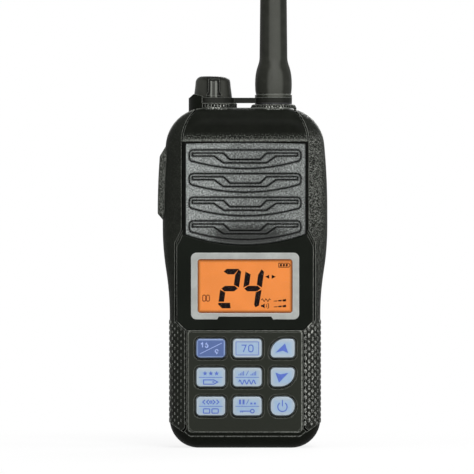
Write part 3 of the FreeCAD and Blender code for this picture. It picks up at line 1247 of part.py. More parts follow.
def casing_screws():
    """Four screws through the rear casing into the front casing's bosses."""
    screws = []
    for x, z in screw_places():
        seat = BAY_FLOOR_Y - CASING_HEAD_HEIGHT + 0.1
        head = rod(CASING_HEAD_RADIUS, (x, seat, z), (0, 1, 0), CASING_HEAD_HEIGHT)
        head = head.makeFillet(0.4, edges_in_plane(head, seat + CASING_HEAD_HEIGHT))
        shank_start = PARTING_Y - CASING_SCREW_LENGTH + 0.5
        shank = rod(CASING_SCREW_RADIUS - 0.02, (x, shank_start, z), (0, 1, 0), seat - shank_start + 0.2)
        cross = cross_recess(x, seat + CASING_HEAD_HEIGHT, z, RECESS_DEPTH, CASING_HEAD_RADIUS * 0.62)
        screws.append(joined([head, shank]).cut(cross))
    return group(screws)


# Board and chassis

def board_outline(y0, y1):
    """The main board's outline, stepped in beside the casing screws."""
    right = [(BOARD_LOWER_HALF_WIDTH, BOARD_BOTTOM), (BOARD_LOWER_HALF_WIDTH, BOARD_LOWER_STEP),
             (BOARD_HALF_WIDTH, BOARD_LOWER_STEP), (BOARD_HALF_WIDTH, BOARD_UPPER_STEP),
             (BOARD_UPPER_HALF_WIDTH, BOARD_UPPER_STEP), (BOARD_UPPER_HALF_WIDTH, BOARD_TOP)]
    return prism(right + [(-x, z) for x, z in reversed(right)], y0, y1)


def board_screw_places():
    """The screws that hold the main board to the chassis: (x, z)."""
    levels = [(BOARD_HALF_WIDTH - BOARD_SCREW_EDGE, CASING_SCREW_LOW_Z + rise) for rise in BOARD_SCREW_RISES]
    levels.append((BOARD_SCREW_TOP_X, SPEAKER_HEIGHT + SPEAKER_RADIUS + BOARD_SCREW_TOP_GAP))
    return [(side * x, z) for x, z in levels for side in SCREW_SIDES]


def main_board():
    """The main circuit board, with a round opening for the speaker."""
    board = board_outline(BOARD_Y, BOARD_BACK_Y)
    board = board.cut(rod(SPEAKER_RADIUS + BOARD_SPEAKER_CLEARANCE, (0, BOARD_Y - 1, SPEAKER_HEIGHT), (0, 1, 0), 4))
    holes = [rod(BOARD_SCREW_RADIUS + SCREW_FIT, (x, BOARD_Y - 1, z), (0, 1, 0), 4)
             for x, z in board_screw_places()]
    return board.cut(group(holes))


def chassis():
    """The cast tray behind the board: a plate with a wall round it and bosses for the board screws."""
    inset = CAVITY + CHASSIS_CLEARANCE
    plate_back = CHASSIS_PLATE_Y + CHASSIS_PLATE_THICKNESS
    plate = blank(inset, CHASSIS_PLATE_Y, plate_back)
    wall = ring(inset, CHASSIS_WALL, BOARD_BACK_Y, plate_back)
    bosses = [rod(CHASSIS_BOSS_RADIUS, (x, BOARD_BACK_Y, z), (0, 1, 0), plate_back - BOARD_BACK_Y)
              for x, z in board_screw_places()]
    body = joined([plate, wall] + bosses)
    clear = [rod(CASING_BOSS_RADIUS + CHASSIS_CLEARANCE, (x, -FAR, z), (0, 1, 0), 2 * FAR)
             for x, z in screw_places()]
    pilots = [rod(BOARD_SCREW_RADIUS, (x, BOARD_BACK_Y - 1, z), (0, 1, 0), BOARD_SCREW_LENGTH + 1)
              for x, z in board_screw_places()]
    body = body.cut(group(clear)).cut(group(pilots))
    z = (TALK_BOTTOM + TALK_TOP) / 2
    half = (TALK_TOP - TALK_BOTTOM) / 2 + TALK_CLEARANCE + TALK_FLANGE + 1
    body = body.cut(box(-FAR, -BOARD_HALF_WIDTH + CHASSIS_WALL, -FAR, CHASSIS_PLATE_Y, z - half, z + half))
    reach = CAP_SHANK_RADIUS + SOCKET_FIT + JACK_SOCKET_WALL + 0.6
    body = body.cut(rod(reach, (JACK_X, TOP_Y, BODY_HEIGHT - 25), (0, 0, 1), 25))
    body = body.cut(rod(ANTENNA_SHANK_RADIUS + 0.6, (ANTENNA_X, TOP_Y, BODY_HEIGHT - 12), (0, 0, 1), 12))
    return body.removeSplitter()


def board_screws():
    """Small screws through the main board into the chassis."""
    screws = []
    for x, z in board_screw_places():
        head = rod(BOARD_SCREW_HEAD_RADIUS, (x, BOARD_Y - BOARD_SCREW_HEAD, z), (0, 1, 0), BOARD_SCREW_HEAD)
        shank = rod(BOARD_SCREW_RADIUS - 0.02, (x, BOARD_Y - 0.2, z), (0, 1, 0), BOARD_SCREW_LENGTH)
        screws.append(joined([head, shank]))
    return group(screws)


def shield_can(x0, x1, z0, z1):
    """A pressed lid over part of the board's back."""
    y1 = BOARD_BACK_Y + SHIELD_HEIGHT
    outer = box(x0, x1, BOARD_BACK_Y, y1, z0, z1)
    w = SHIELD_WALL
    return outer.cut(box(x0 + w, x1 - w, BOARD_BACK_Y - 1, y1 - w, z0 + w, z1 - w))


def shield_cans():
    """Three pressed lids on the back of the board."""
    half = BOARD_HALF_WIDTH - 2 * BOARD_SCREW_EDGE - CHASSIS_BOSS_RADIUS - SHIELD_MARGIN
    low = BOARD_LOWER_STEP + SHIELD_MARGIN
    middle = low + SHIELD_LOWER_HEIGHT
    top = middle + SHIELD_GAP + SHIELD_UPPER_HEIGHT
    split = half / 3
    return group([shield_can(-half, half, low, middle),
                  shield_can(-half, split - SHIELD_GAP / 2, middle + SHIELD_GAP, top),
                  shield_can(split + SHIELD_GAP / 2, half, middle + SHIELD_GAP, top)])


# Battery

def battery_space(inset, y0, y1):
    """The battery pack's block between two depths, moved inwards by inset."""
    shape = blank(BATTERY_INSET + inset, PARTING_Y, BATTERY_BACK_Y - inset, 0.0,
                  max(BACK_EDGE_RADIUS - inset, 0.4))
    return shape.common(box(-FAR, FAR, y0, y1, BATTERY_BOTTOM + inset, BATTERY_TOP - inset))


def edge_wedge(y, z, size, dy, dz):
    """A long wedge that cuts a bevel from an edge along X at (y, z), outwards along dy and dz."""
    a, b = size * 2, size
    outline = [(y + dy * a, z + dz * a), (y - dy * b, z + dz * a), (y - dy * b, z), (y, z - dz * b),
               (y + dy * a, z - dz * b)]
    points = [Vector(-FAR, py, pz) for py, pz in outline]
    return Part.Face(Part.makePolygon(points + points[:1])).extrude(Vector(2 * FAR, 0, 0))


def battery_split_y():
    """Where the two halves of the battery case are welded."""
    return BATTERY_FRONT_Y + BATTERY_SPLIT


def battery_case():
    """The inner half of the battery case, with contact pockets, hooks on top and the catch below."""
    split = battery_split_y()
    body = battery_space(0, BATTERY_FRONT_Y, split)
    body = body.cut(battery_space(BATTERY_WALL, BATTERY_FRONT_Y + BATTERY_WALL, split + 1))
    body = body.cut(edge_wedge(BATTERY_FRONT_Y, BATTERY_BOTTOM, BATTERY_BOTTOM_CHAMFER, -1, -1))
    for x in contact_places():
        body = body.cut(box(x - CONTACT_WIDTH / 2, x + CONTACT_WIDTH / 2, BATTERY_FRONT_Y - 1,
                            BATTERY_FRONT_Y + CONTACT_THICKNESS, CONTACT_Z - CONTACT_HEIGHT / 2,
                            CONTACT_Z + CONTACT_HEIGHT / 2))
    return body


def battery_cover():
    """The outer half of the battery case."""
    split = battery_split_y()
    body = battery_space(0, split, BACK_Y + 1).cut(battery_space(BATTERY_WALL, split - 1, BACK_Y + 1))
    body = body.cut(edge_wedge(BATTERY_BACK_Y, BATTERY_TOP, BATTERY_TOP_CHAMFER, 1, 1))
    additions = [body]
    for side in SCREW_SIDES:
        x0 = side * HOOK_X - HOOK_LENGTH / 2
        additions.append(rod(HOOK_RADIUS, (x0, HOOK_Y, HOOK_Z), (1, 0, 0), HOOK_LENGTH))
        additions.append(box(x0, x0 + HOOK_LENGTH, HOOK_Y - HOOK_NECK / 2, HOOK_Y + HOOK_NECK / 2,
                             BATTERY_TOP - 0.5, HOOK_Z))
    additions.append(box(-CATCH_HALF_WIDTH, CATCH_HALF_WIDTH, CATCH_Y, CATCH_Y + CATCH_THICKNESS,
                         BATTERY_BOTTOM - CATCH_DROP, BATTERY_BOTTOM + 0.5))
    places = clip_screw_places()
    inner = BATTERY_BACK_Y - CLIP_SCREW_LENGTH
    additions += [rod(CLIP_SCREW_RADIUS + 1.1, (x, inner, z), (0, 1, 0), CLIP_SCREW_LENGTH - 0.5)
                  for x, z in places]
    body = joined(additions)
    pilots = [rod(CLIP_SCREW_RADIUS, (x, inner + 0.4, z), (0, 1, 0), FAR) for x, z in places]
    pad_y = BATTERY_BACK_Y - CHARGE_PAD_DEPTH
    pads = [rod(CHARGE_PAD_RADIUS + BOND_GAP, (side * CHARGE_PAD_X, pad_y, CHARGE_PAD_Z), (0, 1, 0), 5)
            for side in SCREW_SIDES]
    label = rounded(0, LABEL_Z, LABEL_WIDTH, LABEL_HEIGHT, (LABEL_CORNER,) * 4, BATTERY_BACK_Y - LABEL_DEPTH,
                    BACK_Y + 1)
    return body.cut(group(pilots)).cut(group(pads)).cut(label)


def contact_places():
    """The middle of each battery contact along X."""
    return [(k - (CONTACT_COUNT - 1) / 2) * CONTACT_PITCH for k in range(CONTACT_COUNT)]


def battery_cells():
    """The cells, one above the other."""
    depth_room = BATTERY_BACK_Y - BATTERY_FRONT_Y - 2 * BATTERY_WALL
    y0 = BATTERY_FRONT_Y + BATTERY_WALL + (depth_room - CELL_DEPTH) / 2
    cells = []
    for k in range(CELL_COUNT):
        z0 = BATTERY_BOTTOM + BATTERY_WALL + CELL_GAP + k * (CELL_HEIGHT + CELL_GAP)
        cells.append(rounded(0, z0 + CELL_HEIGHT / 2, CELL_WIDTH, CELL_HEIGHT, (CELL_CORNER,) * 4, y0,
                             y0 + CELL_DEPTH))
    return group(cells)


def battery_contacts():
    """Gold pads on the inner face, and two round charging pads on the outer face."""
    solids = [box(x - CONTACT_WIDTH / 2 + BOND_GAP, x + CONTACT_WIDTH / 2 - BOND_GAP, BATTERY_FRONT_Y,
                  BATTERY_FRONT_Y + CONTACT_THICKNESS, CONTACT_Z - CONTACT_HEIGHT / 2 + BOND_GAP,
                  CONTACT_Z + CONTACT_HEIGHT / 2 - BOND_GAP) for x in contact_places()]
    solids += [rod(CHARGE_PAD_RADIUS, (side * CHARGE_PAD_X, BATTERY_BACK_Y - CHARGE_PAD_DEPTH, CHARGE_PAD_Z),
                   (0, 1, 0), CHARGE_PAD_DEPTH - FIT) for side in SCREW_SIDES]
    return group(solids)


def terminal_outline(grow, y0, y1):
    """The terminal block's outline in the bay floor."""
    half = (CONTACT_COUNT - 1) / 2 * CONTACT_PITCH + CONTACT_WIDTH / 2 + TERMINAL_MARGIN + grow
    tall = CONTACT_HEIGHT / 2 + TERMINAL_MARGIN + grow
    return rounded(0, CONTACT_Z, 2 * half, 2 * tall, (1.0,) * 4, y0, y1)


def terminal_block():
    """The moulded block in the bay floor that carries the spring contacts."""
    block = terminal_outline(0, CHASSIS_PLATE_Y + CHASSIS_PLATE_THICKNESS + BOND_GAP, BAY_FLOOR_Y - FIT)
    for x in contact_places():
        block = block.cut(box(x - CONTACT_WIDTH / 2, x + CONTACT_WIDTH / 2, BAY_FLOOR_Y - 1.6, BAY_FLOOR_Y + 1,
                              CONTACT_Z - CONTACT_HEIGHT / 2, CONTACT_Z + CONTACT_HEIGHT / 2))
    return block


def terminal_springs():
    """The bowed spring leaves that press on the battery's contacts."""
    leaves = []
    low = BAY_FLOOR_Y - 1.6
    high = BATTERY_FRONT_Y - 0.02
    for x in contact_places():
        half = CONTACT_WIDTH / 2 - 0.4
        z0, z1 = CONTACT_Z - CONTACT_HEIGHT / 2 + 0.4, CONTACT_Z + CONTACT_HEIGHT / 2 - 0.4
        outer = Part.Arc(Vector(x - half, low, z0), Vector(x - half, high, CONTACT_Z),
                         Vector(x - half, low, z1))
        inner = Part.Arc(Vector(x - half, low, z1 - SPRING_LEAF * 1.4),
                         Vector(x - half, high - SPRING_LEAF, CONTACT_Z),
                         Vector(x - half, low, z0 + SPRING_LEAF * 1.4))
        ends = [Part.makeLine(Vector(x - half, low, z1), Vector(x - half, low, z1 - SPRING_LEAF * 1.4)),
                Part.makeLine(Vector(x - half, low, z0 + SPRING_LEAF * 1.4), Vector(x - half, low, z0))]
        wire = Part.Wire([outer.toShape(), ends[0], inner.toShape(), ends[1]])
        leaves.append(Part.Face(wire).extrude(Vector(2 * half, 0, 0)))
    return group(leaves)


# Latch

def latch_front_y():
    """The front of the latch, just behind the battery's catch."""
    return CATCH_Y + CATCH_THICKNESS + LATCH_GAP


def latch_bottom():
    """The underside of the latch at rest."""
    return LATCH_FLOOR + LATCH_TRAVEL + LATCH_GAP


def spring_centre_y():
    """The latch spring stands in the middle of the latch block."""
    return (latch_front_y() + LATCH_BACK) / 2


def battery_latch():
    """The sliding latch: a block with a tooth behind the battery's catch and a ribbed thumb grip."""
    y0, z0 = latch_front_y(), latch_bottom()
    block = box(-LATCH_HALF_WIDTH, LATCH_HALF_WIDTH, y0, LATCH_BACK, z0, LATCH_BLOCK_TOP)
    tooth = box(-LATCH_HALF_WIDTH + 1, LATCH_HALF_WIDTH - 1, y0, y0 + LATCH_TOOTH_DEPTH, LATCH_BLOCK_TOP - 0.2,
                LATCH_TOOTH_TOP)
    pieces = [block, tooth]
    pitch = (LATCH_BLOCK_TOP - z0) / LATCH_GRIP_RIBS
    for k in range(LATCH_GRIP_RIBS):
        z = z0 + (k + 0.5) * pitch
        pieces.append(box(-LATCH_HALF_WIDTH + 1, LATCH_HALF_WIDTH - 1, LATCH_BACK - 0.2,
                          LATCH_BACK + LATCH_GRIP_PROUD, z - pitch / 4, z + pitch / 4))
    hole = rod(LATCH_SPRING_RADIUS + LATCH_SPRING_WIRE, (0, spring_centre_y(), z0 - 1), (0, 0, 1),
               LATCH_BLOCK_TOP - 0.5 - z0 + 1)
    return joined(pieces).cut(hole)


def latch_spring():
    """The coil spring that pushes the latch up."""
    start = LATCH_FLOOR + LATCH_SPRING_WIRE / 2 + FIT / 2
    stop = LATCH_BLOCK_TOP - 0.5 - LATCH_SPRING_WIRE / 2 - FIT / 2
    pitch = (stop - start) / LATCH_SPRING_TURNS
    print("latch spring gap %.2f mm" % (pitch - LATCH_SPRING_WIRE))
    return coil((0, spring_centre_y(), start), (0, 0, 1), (1, 0, 0), LATCH_SPRING_RADIUS, pitch,
                LATCH_SPRING_TURNS, LATCH_SPRING_WIRE)


# Belt clip

def clip_screw_places():
    """The two screws of the clip's bracket: (x, z)."""
    return [(side * CLIP_SCREW_X, CLIP_PIVOT_Z + CLIP_SCREW_RISE) for side in SCREW_SIDES]


def clip_bracket():
    """The bracket on the battery cover: a plate with two ears for the pin."""
    y0 = BATTERY_BACK_Y
    top = CLIP_PIVOT_Z + BRACKET_HEIGHT / 2
    plate = rounded(0, CLIP_PIVOT_Z, 2 * BRACKET_HALF_WIDTH, BRACKET_HEIGHT, (1.5,) * 4,
                    y0, y0 + BRACKET_THICKNESS)
    pieces = [plate]
    for side in SCREW_SIDES:
        inner = clip_ear_outer() + BRACKET_EAR_GAP
        x0 = inner if side > 0 else -inner - BRACKET_EAR
        ear = rod(BRACKET_EAR_RADIUS, (x0, PIVOT_Y, CLIP_PIVOT_Z), (1, 0, 0), BRACKET_EAR)
        web = box(x0, x0 + BRACKET_EAR, y0 + BRACKET_THICKNESS - 0.2, PIVOT_Y,
                  CLIP_PIVOT_Z - BRACKET_EAR_RADIUS, CLIP_PIVOT_Z + BRACKET_EAR_RADIUS)
        pieces += [ear, web]
    body = joined(pieces)
    holes = [rod(CLIP_SCREW_RADIUS + SCREW_FIT, (x, y0 - 1, z), (0, 1, 0), 5) for x, z in clip_screw_places()]
    pin = rod(CLIP_PIN_RADIUS, (-FAR, PIVOT_Y, CLIP_PIVOT_Z), (1, 0, 0), 2 * FAR)
    return body.cut(group(holes)).cut(pin)


def clip_ear_outer():
    """The outer face of the clip's ears, which fit between the bracket's ears."""
    return BRACKET_HALF_WIDTH - BRACKET_EAR - BRACKET_EAR_GAP


def clip_pin():
    """The steel pin through the bracket and the clip."""
    return rod(CLIP_PIN_RADIUS - 0.01, (-BRACKET_HALF_WIDTH + 0.2, PIVOT_Y, CLIP_PIVOT_Z), (1, 0, 0),
               2 * BRACKET_HALF_WIDTH - 0.4)


def belt_clip():
    """The clip lever: a long tongue with a bent tip, a thumb pad above the pivot, and two ears."""
    y0 = BATTERY_BACK_Y + CLIP_GAP
    y1 = y0 + CLIP_THICKNESS
    top, low = CLIP_PIVOT_Z + CLIP_THUMB, CLIP_PIVOT_Z - CLIP_LENGTH
    tip_y = BATTERY_BACK_Y + 1.0
    side_view = [(y0, top), (y1 - 0.6, top), (y1, top - 1.5), (y1, low + CLIP_TIP * 1.3), (y1 - 0.8, low + 2.2),
                 (y1 - 1.6, low), (y0 - 0.6, low), (tip_y, low + CLIP_TIP * 0.55),
                 (tip_y, low + CLIP_TIP * 0.75), (y0, low + CLIP_TIP * 1.5)]
    points = [Vector(-CLIP_HALF_WIDTH, y, z) for y, z in side_view]
    lever = Part.Face(Part.makePolygon(points + points[:1])).extrude(Vector(2 * CLIP_HALF_WIDTH, 0, 0))
    corner = rounded(0, (top + low) / 2, 2 * CLIP_HALF_WIDTH, top - low, (2.5, 2.5, 4.0, 4.0), y0 - 10, y1 + 10)
    lever = lever.common(corner)
    pieces = [lever]
    for side in SCREW_SIDES:
        outer = clip_ear_outer()
        x0 = outer - CLIP_EAR if side > 0 else -outer
        ear = rod(BRACKET_EAR_RADIUS - 0.1, (x0, PIVOT_Y, CLIP_PIVOT_Z), (1, 0, 0), CLIP_EAR)
        web = box(x0, x0 + CLIP_EAR, PIVOT_Y, y0 + 0.4, CLIP_PIVOT_Z - BRACKET_EAR_RADIUS + 0.1,
                  CLIP_PIVOT_Z + BRACKET_EAR_RADIUS - 0.1)
        pieces += [ear, web]
    body = joined(pieces)
    return body.cut(rod(CLIP_PIN_RADIUS + CLIP_PIN_FIT, (-FAR, PIVOT_Y, CLIP_PIVOT_Z), (1, 0, 0), 2 * FAR))


def clip_spring():
    """The torsion spring round the pin, with a straight leg at each end."""
    radius = CLIP_PIN_RADIUS + CLIP_SPRING_WIRE / 2 + 0.15
    start = -CLIP_SPRING_PITCH * CLIP_SPRING_TURNS / 2
    print("clip spring gap %.2f mm" % (CLIP_SPRING_PITCH - CLIP_SPRING_WIRE))
    return coil((start, PIVOT_Y, CLIP_PIVOT_Z), (1, 0, 0), (0, -1, 0), radius, CLIP_SPRING_PITCH,
                CLIP_SPRING_TURNS, CLIP_SPRING_WIRE, CLIP_SPRING_LEG)


def clip_screws():
    """Two screws that hold the bracket on the battery cover."""
    screws = []
    y0 = BATTERY_BACK_Y + BRACKET_THICKNESS
    for x, z in clip_screw_places():
        head = rod(CLIP_SCREW_HEAD_RADIUS, (x, y0, z), (0, 1, 0), CLIP_SCREW_HEAD)
        head = head.makeFillet(0.35, edges_in_plane(head, y0 + CLIP_SCREW_HEAD))
        start = BATTERY_BACK_Y - CLIP_SCREW_LENGTH + 0.6
        shank = rod(CLIP_SCREW_RADIUS - 0.02, (x, start, z), (0, 1, 0), y0 - start + 0.2)
        cross = cross_recess(x, y0 + CLIP_SCREW_HEAD, z, RECESS_DEPTH * 0.7, CLIP_SCREW_HEAD_RADIUS * 0.6)
        screws.append(joined([head, shank]).cut(cross))
    return group(screws)


# Jack, cap and tether

def jack_socket():
    """The threaded metal sleeve in the casing's top, under the cap."""
    bore = CAP_SHANK_RADIUS + SOCKET_FIT
    z0 = JACK_BOSS_TOP - JACK_SOCKET_DEPTH
    return tube(bore + JACK_SOCKET_WALL, bore, (JACK_X, TOP_Y, z0), (0, 0, 1), JACK_SOCKET_DEPTH)


def accessory_jack():
    """The jack for a speaker microphone, under the sleeve."""
    z0 = JACK_BOSS_TOP - JACK_SOCKET_DEPTH - JACK_BODY_DEPTH
    radius = CAP_SHANK_RADIUS + SOCKET_FIT + JACK_SOCKET_WALL
    body = rod(radius, (JACK_X, TOP_Y, z0), (0, 0, 1), JACK_BODY_DEPTH)
    return body.cut(rod(JACK_BORE_RADIUS, (JACK_X, TOP_Y, z0 + 1), (0, 0, 1), JACK_BODY_DEPTH))


def flared(half, flare, low, high, y0, y1):
    """An upright block in front of the jack's axis that widens towards its foot."""
    rise = low + CAP_FLARE_RISE
    right = [(half + flare, low), (half, rise), (half, high)]
    return prism([(JACK_X + x, z) for x, z in right] + [(JACK_X - x, z) for x, z in reversed(right)], y0, y1)


def jack_cap():
    """The lobed screw cap: a head with finger channels, a rib in each, and a threaded shank."""
    z0, z1 = CAP_BOTTOM, CAP_BOTTOM + CAP_HEIGHT
    profile = [Vector(JACK_X, TOP_Y, z0), Vector(JACK_X + CAP_SKIRT_RADIUS, TOP_Y, z0),
               Vector(JACK_X + CAP_SKIRT_RADIUS, TOP_Y, z0 + 0.5),
               Vector(JACK_X + CAP_WAIST_RADIUS, TOP_Y, z0 + CAP_HEIGHT * 0.55),
               Vector(JACK_X + CAP_WAIST_RADIUS - 0.3, TOP_Y, z1), Vector(JACK_X, TOP_Y, z1)]
    head = Part.Face(Part.makePolygon(profile + profile[:1]))
    head = head.revolve(Vector(JACK_X, TOP_Y, 0), Vector(0, 0, 1), 360)
    crown = [e for e in head.Edges if abs(e.BoundBox.ZMin - z1) < 1e-3 and e.BoundBox.XLength > 1]
    head = head.makeFillet(CAP_CROWN_RADIUS, crown)
    inner = CAP_WAIST_RADIUS - CAP_CHANNEL_DEPTH
    floor = z0 + CAP_CHANNEL_FLOOR
    channel = flared(CAP_CHANNEL_WIDTH / 2, CAP_CHANNEL_FLARE, floor, z0 + CAP_CHANNEL_TOP,
                     TOP_Y - CAP_SKIRT_RADIUS - 2, TOP_Y - inner)
    rib = flared(CAP_RIB_WIDTH / 2, CAP_RIB_FLARE, floor - 0.01, z0 + CAP_RIB_TOP,
                 TOP_Y - inner - CAP_RIB_DEPTH, TOP_Y - inner + 1)
    for k in range(CAP_CHANNELS):
        cut = channel.cut(rib)
        cut.rotate(Vector(JACK_X, TOP_Y, 0), Vector(0, 0, 1), CAP_CHANNEL_TURN + 360.0 / CAP_CHANNELS * k)
        head = head.cut(cut)
    shank = rod(CAP_SHANK_RADIUS, (JACK_X, TOP_Y, z0 - LOOP_HEIGHT - CAP_SHANK_LENGTH), (0, 0, 1),
                LOOP_HEIGHT + CAP_SHANK_LENGTH + 0.5)
    shank = shank.cut(tube(CAP_SHANK_RADIUS + 1, seal_radius() - SEAL_WIRE_RADIUS - BOND_GAP,
                           (JACK_X, TOP_Y, seal_z() - SEAL_WIRE_RADIUS - BOND_GAP), (0, 0, 1),
                           2 * (SEAL_WIRE_RADIUS + BOND_GAP)))
    return joined([head, shank])


def seal_z():
    """The height of the cap's sealing ring."""
    return CAP_BOTTOM - LOOP_HEIGHT - CAP_SHANK_LENGTH + SEAL_RISE


def seal_radius():
    """The middle radius of the sealing ring, which stands just clear of the socket."""
    return CAP_SHANK_RADIUS + SOCKET_FIT - BOND_GAP - SEAL_WIRE_RADIUS


def jack_cap_seal():
    """The rubber ring in the groove of the cap's shank."""
    return Part.makeTorus(seal_radius(), SEAL_WIRE_RADIUS, Vector(JACK_X, TOP_Y, seal_z()), Vector(0, 0, 1))


def cap_tether():
    """The tether: a loop under the cap's head, a strap, and a loop round the antenna post."""
    cap_loop = rod(CAP_LOOP_RADIUS, (JACK_X, TOP_Y, LOOP_BOTTOM), (0, 0, 1), LOOP_HEIGHT)
    antenna_loop = rod(ANTENNA_COLLAR_RADIUS, (ANTENNA_X, TOP_Y, LOOP_BOTTOM), (0, 0, 1), LOOP_HEIGHT)
    strap = box(JACK_X, ANTENNA_X, TOP_Y - STRAP_DEPTH / 2, TOP_Y + STRAP_DEPTH / 2, LOOP_BOTTOM,
                LOOP_BOTTOM + LOOP_HEIGHT)
    body = joined([cap_loop, antenna_loop, strap])
    for x, bore in ((JACK_X, CAP_LOOP_BORE), (ANTENNA_X, ANTENNA_LOOP_BORE)):
        body = body.cut(rod(bore, (x, TOP_Y, LOOP_BOTTOM - 1), (0, 0, 1), LOOP_HEIGHT + 2))
    return body


# Antenna

def antenna_socket():
    """The threaded post on the casing, with its flange outside and its shank through the wall."""
    z_in = BODY_HEIGHT - ANTENNA_SHANK_DEPTH
    shank = rod(ANTENNA_SHANK_RADIUS, (ANTENNA_X, TOP_Y, z_in), (0, 0, 1), BOSS_TOP - z_in + 0.1)
    flange = rod(ANTENNA_COLLAR_RADIUS, (ANTENNA_X, TOP_Y, BOSS_TOP), (0, 0, 1), ANTENNA_FLANGE)
    post = rod(ANTENNA_POST_RADIUS, (ANTENNA_X, TOP_Y, BOSS_TOP), (0, 0, 1),
               ANTENNA_FLANGE + ANTENNA_POST_HEIGHT)
    return joined([shank, flange, post])


def antenna_ferrule():
    """The antenna's metal foot: a collar, a neck and a bush inside the sleeve."""
    pieces = [rod(ANTENNA_COLLAR_RADIUS, (ANTENNA_X, TOP_Y, CAP_BOTTOM), (0, 0, 1), ANTENNA_COLLAR_HEIGHT),
              rod(ANTENNA_NECK_RADIUS, (ANTENNA_X, TOP_Y, CAP_BOTTOM), (0, 0, 1),
                  ANTENNA_COLLAR_HEIGHT + ANTENNA_NECK_HEIGHT),
              rod(ANTENNA_FERRULE_RADIUS, (ANTENNA_X, TOP_Y, CAP_BOTTOM), (0, 0, 1), ANTENNA_FERRULE_HEIGHT)]
    top_of_post = BOSS_TOP + ANTENNA_FLANGE + ANTENNA_POST_HEIGHT
    bore = rod(ANTENNA_POST_RADIUS + CLIP_PIN_FIT, (ANTENNA_X, TOP_Y, CAP_BOTTOM - 1), (0, 0, 1),
               top_of_post + FIT - CAP_BOTTOM + 1)
    seat = rod(antenna_seal_radius() + ANTENNA_SEAL_WIRE_RADIUS + BOND_GAP,
               (ANTENNA_X, TOP_Y, CAP_BOTTOM - 1), (0, 0, 1), 2 * ANTENNA_SEAL_WIRE_RADIUS + 2 * BOND_GAP + 1)
    return joined(pieces).cut(bore).cut(seat)


def antenna_seal_radius():
    """The middle radius of the rubber ring round the antenna post."""
    return ANTENNA_POST_RADIUS + BOND_GAP + ANTENNA_SEAL_WIRE_RADIUS


def antenna_seal():
    """The rubber ring in the foot of the ferrule, round the post."""
    z = CAP_BOTTOM + ANTENNA_SEAL_WIRE_RADIUS + BOND_GAP
    return Part.makeTorus(antenna_seal_radius(), ANTENNA_SEAL_WIRE_RADIUS, Vector(ANTENNA_X, TOP_Y, z),
                          Vector(0, 0, 1))


def antenna_tip_z():
    """The top of the antenna."""
    return SLEEVE_BOTTOM + ANTENNA_LENGTH


def antenna_sleeve():
    """The rubber sleeve: a rounded foot, a belly, a long slender shaft and a round tip."""
    def at(radius, z):
        return Vector(ANTENNA_X + radius, TOP_Y, z)

    z0 = SLEEVE_BOTTOM
    belly, taper, tip = z0 + ANTENNA_BELLY_RISE, z0 + ANTENNA_TAPER_RISE, antenna_tip_z()
    shoulder = tip - ANTENNA_TIP_RADIUS
    rise = math.sqrt(0.5) * ANTENNA_TIP_RADIUS
    curve = Part.BSplineCurve()
    middle_radius = (ANTENNA_BELLY_RADIUS + ANTENNA_SHAFT_RADIUS) / 2 + 0.1
    middle = (belly + taper) / 2 + 1.0
    curve.interpolate([at(ANTENNA_BELLY_RADIUS, belly), at(middle_radius, middle),
                       at(ANTENNA_SHAFT_RADIUS, taper)],
                      InitialTangent=Vector(0, 0, 1), FinalTangent=Vector(0, 0, 1))
    edges = [Part.makeLine(at(0, z0), at(ANTENNA_FOOT_RADIUS, z0)),
             Part.Arc(at(ANTENNA_FOOT_RADIUS, z0),
                      at(ANTENNA_BELLY_RADIUS - 0.05, z0 + ANTENNA_BELLY_RISE * 0.55),
                      at(ANTENNA_BELLY_RADIUS, belly)).toShape(),
             curve.toShape(),
             Part.makeLine(at(ANTENNA_SHAFT_RADIUS, taper), at(ANTENNA_TIP_RADIUS, shoulder)),
             Part.Arc(at(ANTENNA_TIP_RADIUS, shoulder), at(rise, shoulder + rise), at(0, tip)).toShape(),
             Part.makeLine(at(0, tip), at(0, z0))]
    body = Part.Face(Part.Wire(edges)).revolve(Vector(ANTENNA_X, TOP_Y, 0), Vector(0, 0, 1), 360)
    bush = rod(ANTENNA_FERRULE_RADIUS + BOND_GAP, (ANTENNA_X, TOP_Y, z0 - 1), (0, 0, 1),
               CAP_BOTTOM + ANTENNA_FERRULE_HEIGHT + FIT - z0 + 1)
    bore = rod(coil_bore(), (ANTENNA_X, TOP_Y, z0), (0, 0, 1), shoulder - 1 - z0)
    return body.cut(bush.fuse(bore))


def coil_bore():
    """The bore of the sleeve round the wound wire."""
    return ANTENNA_CORE_RADIUS + ANTENNA_COIL_WIRE + 2 * BOND_GAP


def antenna_core():
    """The rod inside the sleeve, standing on the ferrule."""
    z0 = CAP_BOTTOM + ANTENNA_FERRULE_HEIGHT
    z1 = antenna_tip_z() - ANTENNA_TIP_RADIUS - 1
    return rod(ANTENNA_CORE_RADIUS, (ANTENNA_X, TOP_Y, z0), (0, 0, 1), z1 - z0)


def antenna_coil():
    """The wound wire round the rod."""
    z0 = CAP_BOTTOM + ANTENNA_FERRULE_HEIGHT + ANTENNA_COIL_WIRE
    z1 = antenna_tip_z() - ANTENNA_TIP_RADIUS - 3
    pitch = (z1 - z0) / ANTENNA_COIL_TURNS
    print("antenna coil gap %.2f mm" % (pitch - ANTENNA_COIL_WIRE))
    radius = ANTENNA_CORE_RADIUS + ANTENNA_COIL_WIRE / 2 + BOND_GAP
    return coil((ANTENNA_X, TOP_Y, z0), (0, 0, 1), (1, 0, 0), radius, pitch, ANTENNA_COIL_TURNS, ANTENNA_COIL_WIRE)


